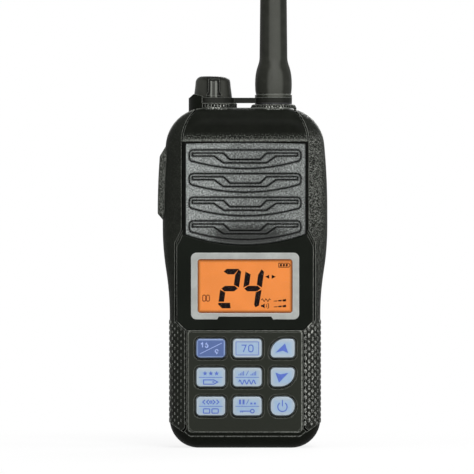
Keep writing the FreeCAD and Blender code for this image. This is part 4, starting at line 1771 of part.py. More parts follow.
def build():
    """Makes every piece and returns them by name."""
    pieces = {
        "front_casing": front_casing(), "rear_casing": rear_casing(), "casing_gasket": casing_gasket(),
        "casing_screws": casing_screws(), "grip_left": grip_left(), "grip_right": grip_right(),
        "grille_plate": grille_plate(), "speaker_mesh": speaker_mesh(), "speaker_frame": speaker_frame(),
        "speaker_cone": speaker_cone(), "speaker_magnet": speaker_magnet(), "microphone": microphone(),
        "display_panel": display_panel(), "display_frame": display_frame(),
        "display_window": display_window(), "display_glass": display_glass(),
        "display_segments": display_segments(), "display_backlight": display_backlight(),
        "display_holder": display_holder(), "keypad_mat": keypad_mat(), "key_domes": key_domes(),
        "main_board": main_board(), "board_screws": board_screws(), "shield_cans": shield_cans(),
        "chassis": chassis(), "talk_pad": talk_pad(), "talk_switch": talk_switch(),
        "battery_case": battery_case(), "battery_cover": battery_cover(), "battery_cells": battery_cells(),
        "battery_contacts": battery_contacts(),
        "terminal_block": terminal_block(), "terminal_springs": terminal_springs(),
        "battery_latch": battery_latch(), "latch_spring": latch_spring(), "clip_bracket": clip_bracket(),
        "clip_pin": clip_pin(), "belt_clip": belt_clip(), "clip_spring": clip_spring(),
        "clip_screws": clip_screws(), "jack_socket": jack_socket(), "accessory_jack": accessory_jack(),
        "jack_cap": jack_cap(), "jack_cap_seal": jack_cap_seal(), "cap_tether": cap_tether(),
        "antenna_socket": antenna_socket(), "antenna_seal": antenna_seal(),
        "antenna_ferrule": antenna_ferrule(), "antenna_sleeve": antenna_sleeve(),
        "antenna_core": antenna_core(), "antenna_coil": antenna_coil(),
    }
    pieces.update({entry[0]: key(entry) for entry in key_table()})
    return pieces


def main():
    """Writes each piece to its own file."""
    os.makedirs("parts", exist_ok=True)
    for name, shape in build().items():
        shape.exportStep(os.path.join("parts", name + ".step"))
        print("%-18s %d solid(s) %10.2f mm3" % (name, len(shape.Solids), shape.Volume))


main()
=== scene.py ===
"""The looks of a hand-held marine radio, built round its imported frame.

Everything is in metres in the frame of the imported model: +X to the right seen from the front,
+Y to the back, +Z up, and the floor at z = 0. Sizes in the classes are millimetres, as their names say.
"""

import logging
import math
from dataclasses import dataclass, field
from enum import Enum

import bmesh
import bpy
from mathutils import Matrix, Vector
from mathutils.bvhtree import BVHTree


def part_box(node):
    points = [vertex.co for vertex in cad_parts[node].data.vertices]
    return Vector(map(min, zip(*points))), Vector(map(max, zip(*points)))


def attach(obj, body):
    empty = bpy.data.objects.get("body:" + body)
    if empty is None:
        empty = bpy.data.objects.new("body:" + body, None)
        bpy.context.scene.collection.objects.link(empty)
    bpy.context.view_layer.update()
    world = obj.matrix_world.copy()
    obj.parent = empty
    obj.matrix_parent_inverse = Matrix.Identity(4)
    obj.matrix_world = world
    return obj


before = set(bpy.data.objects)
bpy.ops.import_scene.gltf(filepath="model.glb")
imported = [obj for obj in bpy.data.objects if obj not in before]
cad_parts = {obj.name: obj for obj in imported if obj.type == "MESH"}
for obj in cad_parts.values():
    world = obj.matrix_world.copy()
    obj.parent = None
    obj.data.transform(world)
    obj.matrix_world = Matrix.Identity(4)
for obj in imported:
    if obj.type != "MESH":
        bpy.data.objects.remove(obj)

LOG = logging.getLogger("radio")
MM = 0.001
EDGE_RAYS = 6
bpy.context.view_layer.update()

Colour = tuple[float, float, float]
Point = tuple[float, float]
Way = tuple[float, float, float]

FRONT: Way = (0.0, -1.0, 0.0)
BACK: Way = (0.0, 1.0, 0.0)
UP: Way = (0.0, 0.0, 1.0)
# Where the painted glint at the tip of each lower grip sits, and how it slants.
GRIP_TIP_MM: Point = (25.7, 49.1)
GRIP_TIP_SLOPE = 1.3


def seen(red: float, green: float, blue: float) -> Colour:
    """A colour as linear light.

    Args:
        red, green, blue: the colour as it looks on a screen, from 0 to 255.

    Returns:
        The three channels as linear values.
    """
    parts = [channel / 255 for channel in (red, green, blue)]
    return tuple(part / 12.92 if part <= 0.04045 else ((part + 0.055) / 1.055) ** 2.4 for part in parts)


class Wire:
    """A socket of a shader node that takes part in Python arithmetic."""

    def __init__(self, graph: "Graph", socket: bpy.types.NodeSocket) -> None:
        """Keeps the socket and the graph that it belongs to."""
        self.graph = graph
        self.socket = socket

    def maths(self, operation: str, *values: "Wire | float") -> "Wire":
        """The result of a Math node on the values."""
        return self.graph.node("ShaderNodeMath", {"operation": operation}, dict(enumerate(values)))

    def __add__(self, other: "Wire | float") -> "Wire":
        """The sum."""
        return self.maths("ADD", self, other)

    __radd__ = __add__

    def __sub__(self, other: "Wire | float") -> "Wire":
        """The difference."""
        return self.maths("SUBTRACT", self, other)

    def __rsub__(self, other: float) -> "Wire":
        """The number less this value."""
        return self.maths("SUBTRACT", other, self)

    def __mul__(self, other: "Wire | float") -> "Wire":
        """The product."""
        return self.maths("MULTIPLY", self, other)

    __rmul__ = __mul__

    def __truediv__(self, other: "Wire | float") -> "Wire":
        """The quotient."""
        return self.maths("DIVIDE", self, other)

    def __abs__(self) -> "Wire":
        """The value without its sign."""
        return self.maths("ABSOLUTE", self)

    def root(self) -> "Wire":
        """The square root."""
        return self.maths("SQRT", self)

    def sine(self) -> "Wire":
        """The sine."""
        return self.maths("SINE", self)

    def folded(self, size: float) -> "Wire":
        """The value made to run from 0 to that size and back, over and over."""
        return self.maths("PINGPONG", self, size)

    def most(self, other: "Wire | float") -> "Wire":
        """The larger of two values."""
        return self.maths("MAXIMUM", self, other)

    def least(self, other: "Wire | float") -> "Wire":
        """The smaller of two values."""
        return self.maths("MINIMUM", self, other)

    def fade(self, start: float, end: float) -> "Wire":
        """A smooth step of this value.

        Args:
            start: the value at which the step is 0.
            end: the value at which it is 1, which may be below start.

        Returns:
            The step, from 0 to 1.
        """
        flip = end < start
        low, high = (end, start) if flip else (start, end)
        to_low, to_high = (1.0, 0.0) if flip else (0.0, 1.0)
        return self.graph.node("ShaderNodeMapRange", {"interpolation_type": "SMOOTHSTEP"},
                               {"Value": self, "From Min": low, "From Max": high,
                                "To Min": to_low, "To Max": to_high})


class Graph:
    """The node tree of a material or of the world."""

    def __init__(self, tree: bpy.types.NodeTree) -> None:
        """Empties the tree."""
        self.tree = tree
        tree.nodes.clear()

    def node(self, kind: str, settings: dict | None = None, inputs: dict | None = None,
             output: int | str = 0) -> Wire:
        """Adds one node.

        Args:
            kind: the node's type.
            settings: its own settings, set first.
            inputs: values, colours or wires for its sockets, by name or number.
            output: the socket that is wanted.

        Returns:
            The wanted socket.
        """
        made = self.tree.nodes.new(kind)
        for name, value in (settings or {}).items():
            setattr(made, name, value)
        for name, value in (inputs or {}).items():
            socket = made.inputs[name]
            if isinstance(value, Wire):
                self.tree.links.new(value.socket, socket)
            elif socket.type == "RGBA" and len(value) == 3:
                socket.default_value = (*value, 1.0)
            else:
                socket.default_value = value
        return Wire(self, made.outputs[output])

    def place(self) -> Wire:
        """The place on the radio, in metres."""
        return self.node("ShaderNodeTexCoord", output="Object")

    def spot(self) -> tuple[Wire, Wire, Wire]:
        """X, Y and Z on the radio, in millimetres."""
        made = self.node("ShaderNodeSeparateXYZ", None, {0: self.stretched(self.place(), (1 / MM,) * 3)})
        return tuple(Wire(self, socket) for socket in made.socket.node.outputs)

    def stretched(self, vector: Wire, scale: Way) -> Wire:
        """A vector with its parts multiplied."""
        return self.node("ShaderNodeVectorMath", {"operation": "MULTIPLY"}, {0: vector, 1: scale})

    def noise(self, size_mm: float, detail: float = 2.0, vector: Wire | None = None) -> Wire:
        """Cloudy noise, from 0 to 1, with features of about that size."""
        return self.node("ShaderNodeTexNoise", None,
                         {"Vector": vector or self.place(), "Scale": 1 / (size_mm * MM), "Detail": detail,
                          "Roughness": 0.55}, "Fac")

    def cell_edges(self, size_mm: float, vector: Wire) -> Wire:
        """Distance from the edges of cells of about that size."""
        return self.node("ShaderNodeTexVoronoi", {"feature": "DISTANCE_TO_EDGE"},
                         {"Vector": vector, "Scale": 1 / (size_mm * MM)}, "Distance")

    def mix(self, first: Wire | Colour, second: Wire | Colour, share: Wire | float) -> Wire:
        """Two colours, mixed by the share of the second."""
        return self.node("ShaderNodeMix", {"data_type": "RGBA"},
                         {"Factor": share, 6: first, 7: second}, 2)

    def coated(self, colour: Wire, *coats: tuple[Colour, Wire | float]) -> Wire:
        """The colour with coats laid over it in turn, each a colour and its share."""
        for over, share in coats:
            colour = self.mix(colour, over, share)
        return colour

    def edges(self, width_mm: float) -> Wire:
        """1 along sharp edges, fading to 0 about that far from them."""
        rounded = self.node("ShaderNodeBevel", {"samples": EDGE_RAYS}, {"Radius": width_mm * MM})
        flat = self.node("ShaderNodeNewGeometry", output="Normal")
        return self.dot(rounded, flat).fade(0.99, 0.9)

    def dot(self, first: Wire, second: Wire | Way) -> Wire:
        """The dot product of two vectors."""
        return self.node("ShaderNodeVectorMath", {"operation": "DOT_PRODUCT"},
                         {0: first, 1: second}, "Value")

    def facing(self, way: Way) -> Wire:
        """How squarely the surface faces one way, from -1 to 1."""
        return self.dot(self.node("ShaderNodeTexCoord", output="Normal"), way)

    def upper_rim(self) -> Wire:
        """1 where the surface rolls away over the top of the radio, where a highlight is painted."""
        rolled = self.facing(FRONT).fade(0.45, 0.15) * self.facing(BACK).fade(0.5, 0.2)
        return rolled * self.facing(UP).fade(0.2, 0.5)

    def tip_glint(self, x: Wire, z: Wire) -> Wire:
        """1 in a short slanted dash at the tip of each lower grip, weaker on the left: where a glint is
        painted.
        """
        out = abs(x) - GRIP_TIP_MM[0]
        slant = z - GRIP_TIP_MM[1] - GRIP_TIP_SLOPE * out
        return abs(slant).fade(0.75, 0.35) * abs(out).fade(1.0, 0.6) * (0.4 + 0.55 * x.fade(-1.0, 1.0))

    def openness(self, reach_mm: float) -> Wire:
        """1 on open faces, and less in corners and grooves of about that width: the mask of painted shade.
        """
        return self.node("ShaderNodeAmbientOcclusion", {"samples": EDGE_RAYS, "only_local": True},
                         {"Distance": reach_mm * MM}, "AO")

    def bump(self, height: Wire, depth_mm: float) -> Wire:
        """The normal of a surface with that relief on it."""
        return self.node("ShaderNodeBump", None,
                         {"Height": height, "Distance": depth_mm * MM, "Strength": 1.0})

    def surface(self, **sockets: Wire | Colour | float) -> Wire:
        """A surface shader, with its sockets given in plain words."""
        names = {"colour": "Base Color", "roughness": "Roughness", "metallic": "Metallic",
                 "normal": "Normal", "gloss": "Specular IOR Level", "glow": "Emission Color",
                 "glow_strength": "Emission Strength", "alpha": "Alpha"}
        return self.node("ShaderNodeBsdfPrincipled", None,
                         {names[word]: value for word, value in sockets.items()})

    def end(self, shader: Wire, kind: str = "ShaderNodeOutputMaterial") -> None:
        """Links the shader to the output."""
        self.tree.links.new(shader.socket, self.tree.nodes.new(kind).inputs[0])


@dataclass(frozen=True)
class Finish:
    """A finish that every piece of one kind shares.

    Attributes:
        name: the material's name.
        colour: its main colour.
        roughness: its mean roughness.
        gloss: how strong its reflections are; 0.5 is common plastic.
    """

    name: str
    colour: Colour
    roughness: float = 0.5
    gloss: float = 0.4

    def material(self) -> bpy.types.Material:
        """The material, made once and then shared."""
        made = bpy.data.materials.get(self.name)
        if made is None:
            made = bpy.data.materials.new(self.name)
            made.use_nodes = True
            graph = Graph(made.node_tree)
            graph.end(self.shader(graph))
        return made

    def tint(self, graph: Graph, spread: float, size_mm: float) -> Wire:
        """The colour with a cloudy spread of lighter and darker places."""
        darker = tuple(channel * (1 - spread) for channel in self.colour)
        lighter = tuple(channel * (1 + spread) for channel in self.colour)
        return graph.mix(darker, lighter, graph.noise(size_mm, 3).fade(0.3, 0.7))

    def skin(self, graph: Graph, colour: Wire, uneven: Wire | float, relief: Wire, depth_mm: float,
             **more: Wire | float) -> Wire:
        """The surface shader of this finish.

        Args:
            graph: the material's graph.
            colour: its colour over the surface.
            uneven: what its roughness gains.
            relief, depth_mm: its relief and how deep that is.
            more: further sockets, in the words of Graph.surface.

        Returns:
            The shader.
        """
        return graph.surface(colour=colour, roughness=self.roughness + uneven, gloss=self.gloss,
                             normal=graph.bump(relief, depth_mm), **more)

    def shader(self, graph: Graph) -> Wire:
        """The surface shader; each kind of finish has its own."""
        raise NotImplementedError


@dataclass(frozen=True)
class Moulding(Finish):
    """Moulded plastic or rubber with a fine eroded texture.

    Attributes:
        grain_mm: the size of the texture.
        grain_depth_mm: its depth.
        spread: how much the colour varies.
        wear_and_highlight: how far the edges are paler, part scuffing and part painted highlight.
        wear_and_highlight_colour: the colour of a pale edge, part scuffing and part painted highlight.
        front_sheen_share: how strongly a painted sheen lightens the front of a round piece, as a lamp in
            front would.
        polished: the colour of the painted sheen.
        front_sheen: the way that the painted sheen faces.
    """

    grain_mm: float = 0.35
    grain_depth_mm: float = 0.02
    spread: float = 0.15
    wear_and_highlight: float = 0.0
    wear_and_highlight_colour: Colour = seen(140, 143, 136)
    front_sheen_share: float = 0.0
    polished: Colour = seen(92, 93, 88)
    front_sheen: Way = (0.1, -0.99, 0.0)

    def with_wear_and_highlight(self, colour: Wire, edge: Wire, grain: Wire) -> Wire:
        """The colour with its edges paler, more so on the grains: part scuffing, part painted highlight."""
        return colour.graph.mix(colour, self.wear_and_highlight_colour, edge * (1.6 * grain - 0.1) * self.wear_and_highlight)

    def shader(self, graph: Graph) -> Wire:
        """Fine grain, a cloudy colour, polish that comes and goes, a painted sheen down the front of round
        pieces, and paler edges.
        """
        grain = graph.noise(self.grain_mm, 4)
        polish = graph.noise(9.0, 2).fade(0.35, 0.75)
        colour = self.tint(graph, self.spread, 3.0)
        # A painted sheen down the front of a round piece, where a lamp in front would light it.
        if self.front_sheen_share:
            front_sheen = graph.facing(self.front_sheen).fade(0.86, 0.95)
            colour = graph.mix(colour, self.polished, front_sheen * (0.75 + 0.5 * grain) * self.front_sheen_share)
        # Paler edges: part scuffing, part painted highlight where the edges catch the light.
        if self.wear_and_highlight:
            colour = self.with_wear_and_highlight(colour, graph.edges(0.35), grain)
        return self.skin(graph, colour, 0.1 * (grain - 0.5) - 0.08 * polish, grain, self.grain_depth_mm)


@dataclass(frozen=True)
class FrontCasing(Moulding):
    """The casing's plastic: smooth header, a grainy band below it, and a keypad deck.

    Attributes:
        deck: the colour of the deck round the keys.
        shadow: the colour of the painted shade in corners and grooves, and in the gap round the grille
            plate.
        fleck: the colour of the lit grains in the header's lower band, and of painted highlights along the
            ridge, the fold, the deck's border and the upper rim.
        spark: the colour of painted highlights: the lit points of the knurls and the glint at the grips'
            tips.
        front_mm: the Y over which the front begins.
        deck_top_mm, deck_low_mm, deck_half_width_mm, deck_corner_mm: the deck's outline.
        border_right_mm, border_top_mm: the X and the Z over which the painted highlight on the deck's border
            grows stronger.
        plate_side_mm, plate_low_mm, plate_top_mm: the gap beside and over the grille plate, painted in
        shade.
        fold_mm, fold_start_mm: the fold under the deck, which carries a painted highlight, and where it
            starts to sweep up.
        knurl_level_mm, knurl_places_mm: the level of the knurls and the X of the two bosses.
        knurl_front_mm: the Y over which the lit knurls begin.
        band_low_mm, band_high_mm: the grainy band's levels.
        ridge_mm: the level of the ridge over the grille plate, which carries a painted highlight.
    """

    deck: Colour = seen(37, 39, 34)
    shadow: Colour = seen(10, 11, 9)
    fleck: Colour = seen(150, 153, 146)
    spark: Colour = seen(205, 208, 200)
    front_mm: Point = (-16.0, -19.0)
    deck_top_mm: float = 47.0
    deck_low_mm: float = 6.3
    deck_half_width_mm: float = 22.7
    deck_corner_mm: float = 1.6
    border_right_mm: Point = (0.0, 20.0)
    border_top_mm: Point = (45.0, 46.0)
    plate_side_mm: float = 24.3
    plate_low_mm: float = 83.0
    plate_top_mm: float = 121.6
    fold_mm: float = 4.7
    fold_start_mm: float = 21.5
    knurl_level_mm: float = 135.6
    knurl_places_mm: Point = (-11.3, 11.7)
    knurl_front_mm: Point = (-8.0, -11.0)
    band_low_mm: float = 122.2
    band_high_mm: float = 125.8
    ridge_mm: float = 122.3

    def past_deck(self, x: Wire, z: Wire) -> Wire:
        """How far a place is outside the deck's round-cornered outline, and below 0 inside it."""
        middle, half = (self.deck_top_mm + self.deck_low_mm) / 2, (self.deck_top_mm - self.deck_low_mm) / 2
        out_x = abs(x) - (self.deck_half_width_mm - self.deck_corner_mm)
        out_z = abs(z - middle) - (half - self.deck_corner_mm)
        past_x, past_z = out_x.most(0.0), out_z.most(0.0)
        corner = (past_x * past_x + past_z * past_z).root()
        return corner + out_x.most(out_z).least(0.0) - self.deck_corner_mm

    def plate_gap(self, x: Wire, z: Wire) -> Wire:
        """1 in the gap beside and over the grille plate, where shade is painted."""
        out = abs(x)
        beside = abs(out - self.plate_side_mm).fade(0.6, 0.4)
        beside = beside * z.fade(self.plate_low_mm, self.plate_low_mm + 1)
        beside = beside * z.fade(self.plate_top_mm + 0.2, self.plate_top_mm)
        over = abs(z - (self.plate_top_mm - 0.15)).fade(0.45, 0.25)
        return beside.most(over * out.fade(self.plate_side_mm + 0.6, self.plate_side_mm + 0.4))

    def knurls(self, x: Wire, y: Wire, z: Wire) -> Wire:
        """1 on the front of the two knurled bosses, where their lit points are painted."""
        level = abs(z - self.knurl_level_mm).fade(1.3, 0.7) * y.fade(*self.knurl_front_mm)
        left, right = (abs(x - place).fade(4.6, 3.0) for place in self.knurl_places_mm)
        return level * left.most(right)

    def shader(self, graph: Graph) -> Wire:
        """The colours by level, lit grains, pale edges (part scuffing, part painted highlight), painted
        highlights and glints, and painted shade in corners.
        """
        x, y, z = graph.spot()
        grain, coarse, broken = graph.noise(self.grain_mm, 4), graph.noise(0.7, 4), graph.noise(0.5, 4)
        front = y.fade(*self.front_mm)
        band = z.fade(self.band_high_mm, self.band_low_mm) * front
        band = band * z.fade(self.band_low_mm - 2, self.band_low_mm - 1)
        # Painted highlights along the ridge over the plate, the deck's border and the fold under the deck.
        ridge = abs(z - self.ridge_mm).fade(0.5, 0.15) * front
        flecks = (band * broken.fade(0.46, 0.7)).most(ridge * coarse.fade(0.35, 0.65) * 0.7)
        away = self.past_deck(x, z)
        border = abs(away + 0.1).fade(0.35, 0.1) * front
        border = border * (0.3 + 0.3 * x.fade(*self.border_right_mm) + 0.35 * z.fade(*self.border_top_mm))
        past = (abs(x) - self.fold_start_mm).most(0.0)
        fold = abs(z - self.fold_mm - past * past / (past + 1)).fade(0.35, 0.05) * front
        colour = graph.coated(self.tint(graph, self.spread, 3.0),
                              (self.deck, away.fade(0.15, -0.15) * front), (self.fleck, flecks * 0.6),
                              (self.fleck, (fold * 0.4).most(border) * coarse.fade(0.3, 0.6)))
        # Paler edges: part scuffing, part painted highlight.
        colour = self.with_wear_and_highlight(colour, graph.edges(0.3), graph.noise(1.2, 3))
        # Painted highlights: lit points on the knurls, and a sheen where the top rolls away.
        colour = graph.coated(colour, (self.spark, self.knurls(x, y, z) * broken.fade(0.5, 0.62) * 0.8),
                              (self.fleck, graph.upper_rim() * coarse.fade(0.3, 0.6) * 0.5))
        # Painted shade in corners and grooves and in the gap round the grille plate, then the painted glint
        # at the grips' tips.
        colour = graph.mix(self.shadow, colour, graph.openness(1.4).fade(0.45, 0.92))
        colour = graph.coated(colour, (self.shadow, self.plate_gap(x, z) * front),
                              (self.spark, graph.tip_glint(x, z) * front))
        return self.skin(graph, colour, 0.12 * (grain - 0.5) + 0.08 * band, grain, self.grain_depth_mm)


@dataclass(frozen=True)
class Grip(Moulding):
    """Soft moulded rubber with a leather grain.

    Attributes:
        pebble_mm: the size of the leather's pebbles.
        pebble_depth_mm: their height.
        shine: the colour of the pale grain, as painted highlights on the pebbles and along the upper rim.
        speckle: how much more they show on the radio's right, as painted light from that side.
        base_share: how much they show elsewhere.
        low_dark: how much less they show on the lower grip.
        crease: the colour of painted shade in corners and grooves.
        glint: the colour of the painted glint at the lower grip's tip.
        warp_mm: how far the pebbles are bent out of line.
        lit_mm, rim_mm: the X over which painted light on the grain grows, and over which it fades at the
            side.
        low_mm, low_spread_mm: the Z over which the lower grip begins, and how much sooner it fades there.
        top_mm, rise_mm: the Z over which painted light on the grain fades at the top, and over which it
            rises.
    """

    pebble_mm: float = 0.75
    pebble_depth_mm: float = 0.09
    shine: Colour = seen(150, 152, 146)
    speckle: float = 0.42
    base_share: float = 0.02
    low_dark: float = 0.8
    crease: Colour = seen(8, 9, 8)
    glint: Colour = seen(215, 217, 210)
    warp_mm: float = 0.6
    lit_mm: Point = (18.0, 25.0)
    rim_mm: Point = (29.5, 32.5)
    low_mm: Point = (52.0, 46.0)
    low_spread_mm: float = 2.8
    top_mm: Point = (128.0, 121.0)
    rise_mm: Point = (70.0, 98.0)

    def shader(self, graph: Graph) -> Wire:
        """Pebbles with fine creases, a pale grain in painted light that shows most on the right, painted
        highlights, shade and a glint.
        """
        x, y, z = graph.spot()
        warp = self.warp_mm * graph.noise(1.6, 2)
        bent = graph.node("ShaderNodeCombineXYZ", None, {0: x + warp, 1: y, 2: z - warp})
        pebble = graph.cell_edges(self.pebble_mm, graph.stretched(bent, (MM,) * 3)).fade(0.02, 0.3)
        fine = graph.noise(0.8, 4)
        # Painted light on the grain, strongest on the radio's right.
        low = z.fade(*self.low_mm)
        lit = x.fade(*self.lit_mm) * (1 - 0.8 * (x + low * self.low_spread_mm).fade(*self.rim_mm))
        lit = lit * z.fade(*self.top_mm) * (0.4 + 0.6 * z.fade(*self.rise_mm) + 0.4 * low)
        lit = lit * (1 - self.low_dark * low)
        speck = (0.3 * fine + 0.7 * graph.noise(0.36, 2)).fade(0.47, 0.6)
        colour = graph.mix(self.tint(graph, self.spread, 4.0), self.shine,
                           speck * (self.base_share + self.speckle * lit))
        colour = self.with_wear_and_highlight(colour, graph.edges(0.35), graph.noise(1.0, 3))
        # A painted highlight where the surface rolls away over the top.
        colour = graph.mix(colour, self.shine, graph.upper_rim() * fine.fade(0.3, 0.6) * 0.75)
        # Painted shade in corners and grooves.
        colour = graph.mix(self.crease, colour, graph.openness(1.0).fade(0.4, 0.9))
        # The painted glint at the lower grip's tip.
        colour = graph.mix(colour, self.glint, graph.tip_glint(x, z))
        return self.skin(graph, colour, -0.1 * speck, pebble + fine, self.pebble_depth_mm)


@dataclass(frozen=True)
class CapPlastic(Moulding):
    """The jack cap's plastic, with a finger channel darkened by painted shade, and a rib in it with painted
    highlights on its edges.

    Attributes:
        centre_mm: the X of the cap's middle.
        rib_top_mm, channel_top_mm: the levels of the rib's and the channel's tops.
        rib_half_mm, channel_half_mm: half the width of the rib and of the channel.
        front_mm: the Y over which the front begins.
        left_lobe, right_lobe: the ways that the two lobes face, which take a painted sheen.
        channel_shade: the colour of the painted shade in the channel.
    """

    centre_mm: float = -12.5
    rib_top_mm: float = 146.0
    channel_top_mm: float = 147.6
    rib_half_mm: float = 1.7
    channel_half_mm: float = 2.6
    front_mm: Point = (0.0, -3.0)
    left_lobe: Way = (-0.75, -0.66, 0.0)
    right_lobe: Way = (0.5, -0.86, 0.0)
    channel_shade: Colour = seen(9, 10, 8)

    def shader(self, graph: Graph) -> Wire:
        """A channel in painted shade, and a rib with a painted sheen on its face and painted highlights on
        its two edges.
        """
        x, y, z = graph.spot()
        grain = graph.noise(self.grain_mm, 4)
        across, front = abs(x - self.centre_mm), y.fade(*self.front_mm)
        lobe = graph.facing(self.left_lobe).fade(0.8, 1.0)
        lobe = lobe.most(graph.facing(self.right_lobe).fade(0.85, 1.0))
        channel = across.fade(self.channel_half_mm + 0.3, self.channel_half_mm) * front
        channel = channel * z.fade(self.channel_top_mm + 0.3, self.channel_top_mm)
        rib = z.fade(self.rib_top_mm + 0.2, self.rib_top_mm) * front
        face = rib * across.fade(self.rib_half_mm, 0.7 * self.rib_half_mm)
        bright = rib * abs(across - 0.55 * self.rib_half_mm).fade(0.45, 0.2)
        # Painted light: sheen on the lobes and the rib's face, shade in the channel, highlights on the rib's
        # edges.
        colour = graph.coated(self.tint(graph, self.spread, 3.0), (self.polished, 0.2 * lobe),
                              (self.channel_shade, 0.85 * channel), (self.polished, 0.35 * face),
                              (self.wear_and_highlight_colour, bright * (0.1 + 0.7 * grain)))
        colour = self.with_wear_and_highlight(colour, graph.edges(0.3), grain)
        return self.skin(graph, colour, 0.1 * (grain - 0.5), grain, self.grain_depth_mm)


@dataclass(frozen=True)
class SparklePaint(Finish):
    """Dark metallic paint with coarse flakes, as on the speaker's grille.

    Attributes:
        dark: the colour between the flakes, towards which the painted light darkens the paint.
        bright: the colour of the lit flakes, and of the painted highlights beside the grooves.
        bar_level_mm, bar_pitch_mm: the level of the lowest thin bar and the distance between bars, whose
            ends take a painted highlight.
        bar_start_mm, bar_end_mm: the distances from the middle over which a bar's painted highlight begins
            and ends.
        side_mm, left_mm, middle_mm: painted reflection, lighter to the sides and the left, darker round
            middle_x_mm.
        low_mm, low_half_mm: the Z and the distance from the middle over which the foot is darker.
        left_edge_mm: the X over which the left edge turns black in painted shade.
        groove: the colour of painted shade in grooves and at edges.
    """

    dark: Colour = seen(40, 42, 40)
    bright: Colour = seen(172, 177, 175)
    bar_level_mm: float = 88.0
    bar_pitch_mm: float = 9.75
    bar_start_mm: Point = (9.0, 14.0)
    bar_end_mm: Point = (22.0, 21.0)
    side_mm: Point = (9.0, 23.9)
    left_mm: Point = (4.0, -20.0)
    middle_x_mm: float = 5.0
    middle_mm: Point = (16.0, 5.0)
    low_mm: Point = (91.0, 85.0)
    low_half_mm: Point = (17.0, 9.0)
    left_edge_mm: Point = (-23.3, -23.6)
    groove: Colour = seen(6, 7, 6)

    def shader(self, graph: Graph) -> Wire:
        """Flakes of two sizes, with painted light: lighter to the sides and left, highlights on bars and
        beside grooves, shade in grooves.
        """
        x, _, z = graph.spot()
        out = abs(x)
        coarse = graph.noise(0.62, 6)
        flakes = (0.65 * coarse + 0.35 * graph.noise(0.28, 3)).fade(0.36, 0.66)
        left = x.fade(*self.left_mm)
        low = z.fade(*self.low_mm) * (0.35 + 0.65 * out.fade(*self.low_half_mm))
        middle = abs(x - self.middle_x_mm).fade(*self.middle_mm)
        # A painted highlight on the ends of the thin bars, stronger on the left.
        bar = (z - self.bar_level_mm).folded(self.bar_pitch_mm / 2).fade(0.9, 0.6)
        bar = bar * out.fade(*self.bar_start_mm) * out.fade(*self.bar_end_mm) * (0.35 + 0.75 * left)
        # Painted reflection makes the paint lighter to the sides and the left and darker round the middle;
        # it is also darker at the foot, with a random cloud of tone.
        tone_and_painted_light = 0.5 + 0.12 * out.fade(*self.side_mm) + 0.28 * left - 0.75 * low - 0.06 * middle
        tone_and_painted_light = tone_and_painted_light + 0.5 * (graph.noise(7.0, 2) - 0.5) + bar
        # Painted shade in grooves, at edges and at the plate's left edge, with painted highlights beside the
        # grooves.
        near = graph.edges(1.0)
        black = near.fade(0.35, 0.75).most(graph.openness(1.6).fade(0.97, 0.6))
        colour = graph.mix(self.dark, graph.mix(self.colour, self.bright, 0.6 * flakes),
                           tone_and_painted_light + 0.55 * (flakes - 0.5))
        colour = graph.coated(colour, (self.bright, near * (0.25 + 0.95 * coarse)),
                              (self.groove, black.most(x.fade(*self.left_edge_mm))))
        return self.skin(graph, colour, -0.12 * flakes, coarse, 0.035, metallic=0.25)


@dataclass(frozen=True)
class GlossPanel(Finish):
    """A near black polished panel with faint moulding marks and dust."""

    def shader(self, graph: Graph) -> Wire:
        """A smooth surface whose polish varies slightly, with a few fine scratches."""
        smear = graph.noise(12.0, 3).fade(0.3, 0.8)
        scratch = graph.noise(0.9, 2, graph.stretched(graph.place(), (1.0, 1.0, 0.08))).fade(0.7, 0.78)
        return self.skin(graph, self.tint(graph, 0.12, 14.0), 0.06 * smear + 0.12 * scratch,
                         graph.noise(4.0, 1), 0.004)


@dataclass(frozen=True)
class Metal(Finish):
    """Bare or plated metal with a brushed or blasted surface.

    Attributes:
        metallic: how much of it is bare metal.
        stroke: how the brush marks stretch along X, Y and Z.
        mark_mm: the size of the marks.
        wear_and_highlight: how much paler the edges are, part scuffing and part painted highlight.
    """

    metallic: float = 1.0
    stroke: Way = (1.0, 1.0, 1.0)
    mark_mm: float = 0.4
    wear_and_highlight: float = 0.0

    def shader(self, graph: Graph) -> Wire:
        """Fine marks in colour, roughness and relief, large blotches that partly stand in for a soft painted
        reflection, and paler edges.
        """
        marks = graph.noise(self.mark_mm, 4, graph.stretched(graph.place(), self.stroke))
        # Large blotches, partly random tone and partly a painted soft reflection.
        stain_and_reflection = graph.noise(7.0, 3).fade(0.35, 0.7)
        darker = tuple(channel * 0.8 for channel in self.colour)
        colour = graph.mix(darker, self.tint(graph, 0.07, 2.0), 0.35 + 0.65 * stain_and_reflection)
        if self.wear_and_highlight:
            colour = graph.mix(colour, tuple(1 - (1 - channel) * 0.5 for channel in self.colour),
                               graph.edges(0.45) * self.wear_and_highlight)
        return self.skin(graph, colour, 0.14 * (marks - 0.5), marks, 0.008, metallic=self.metallic)


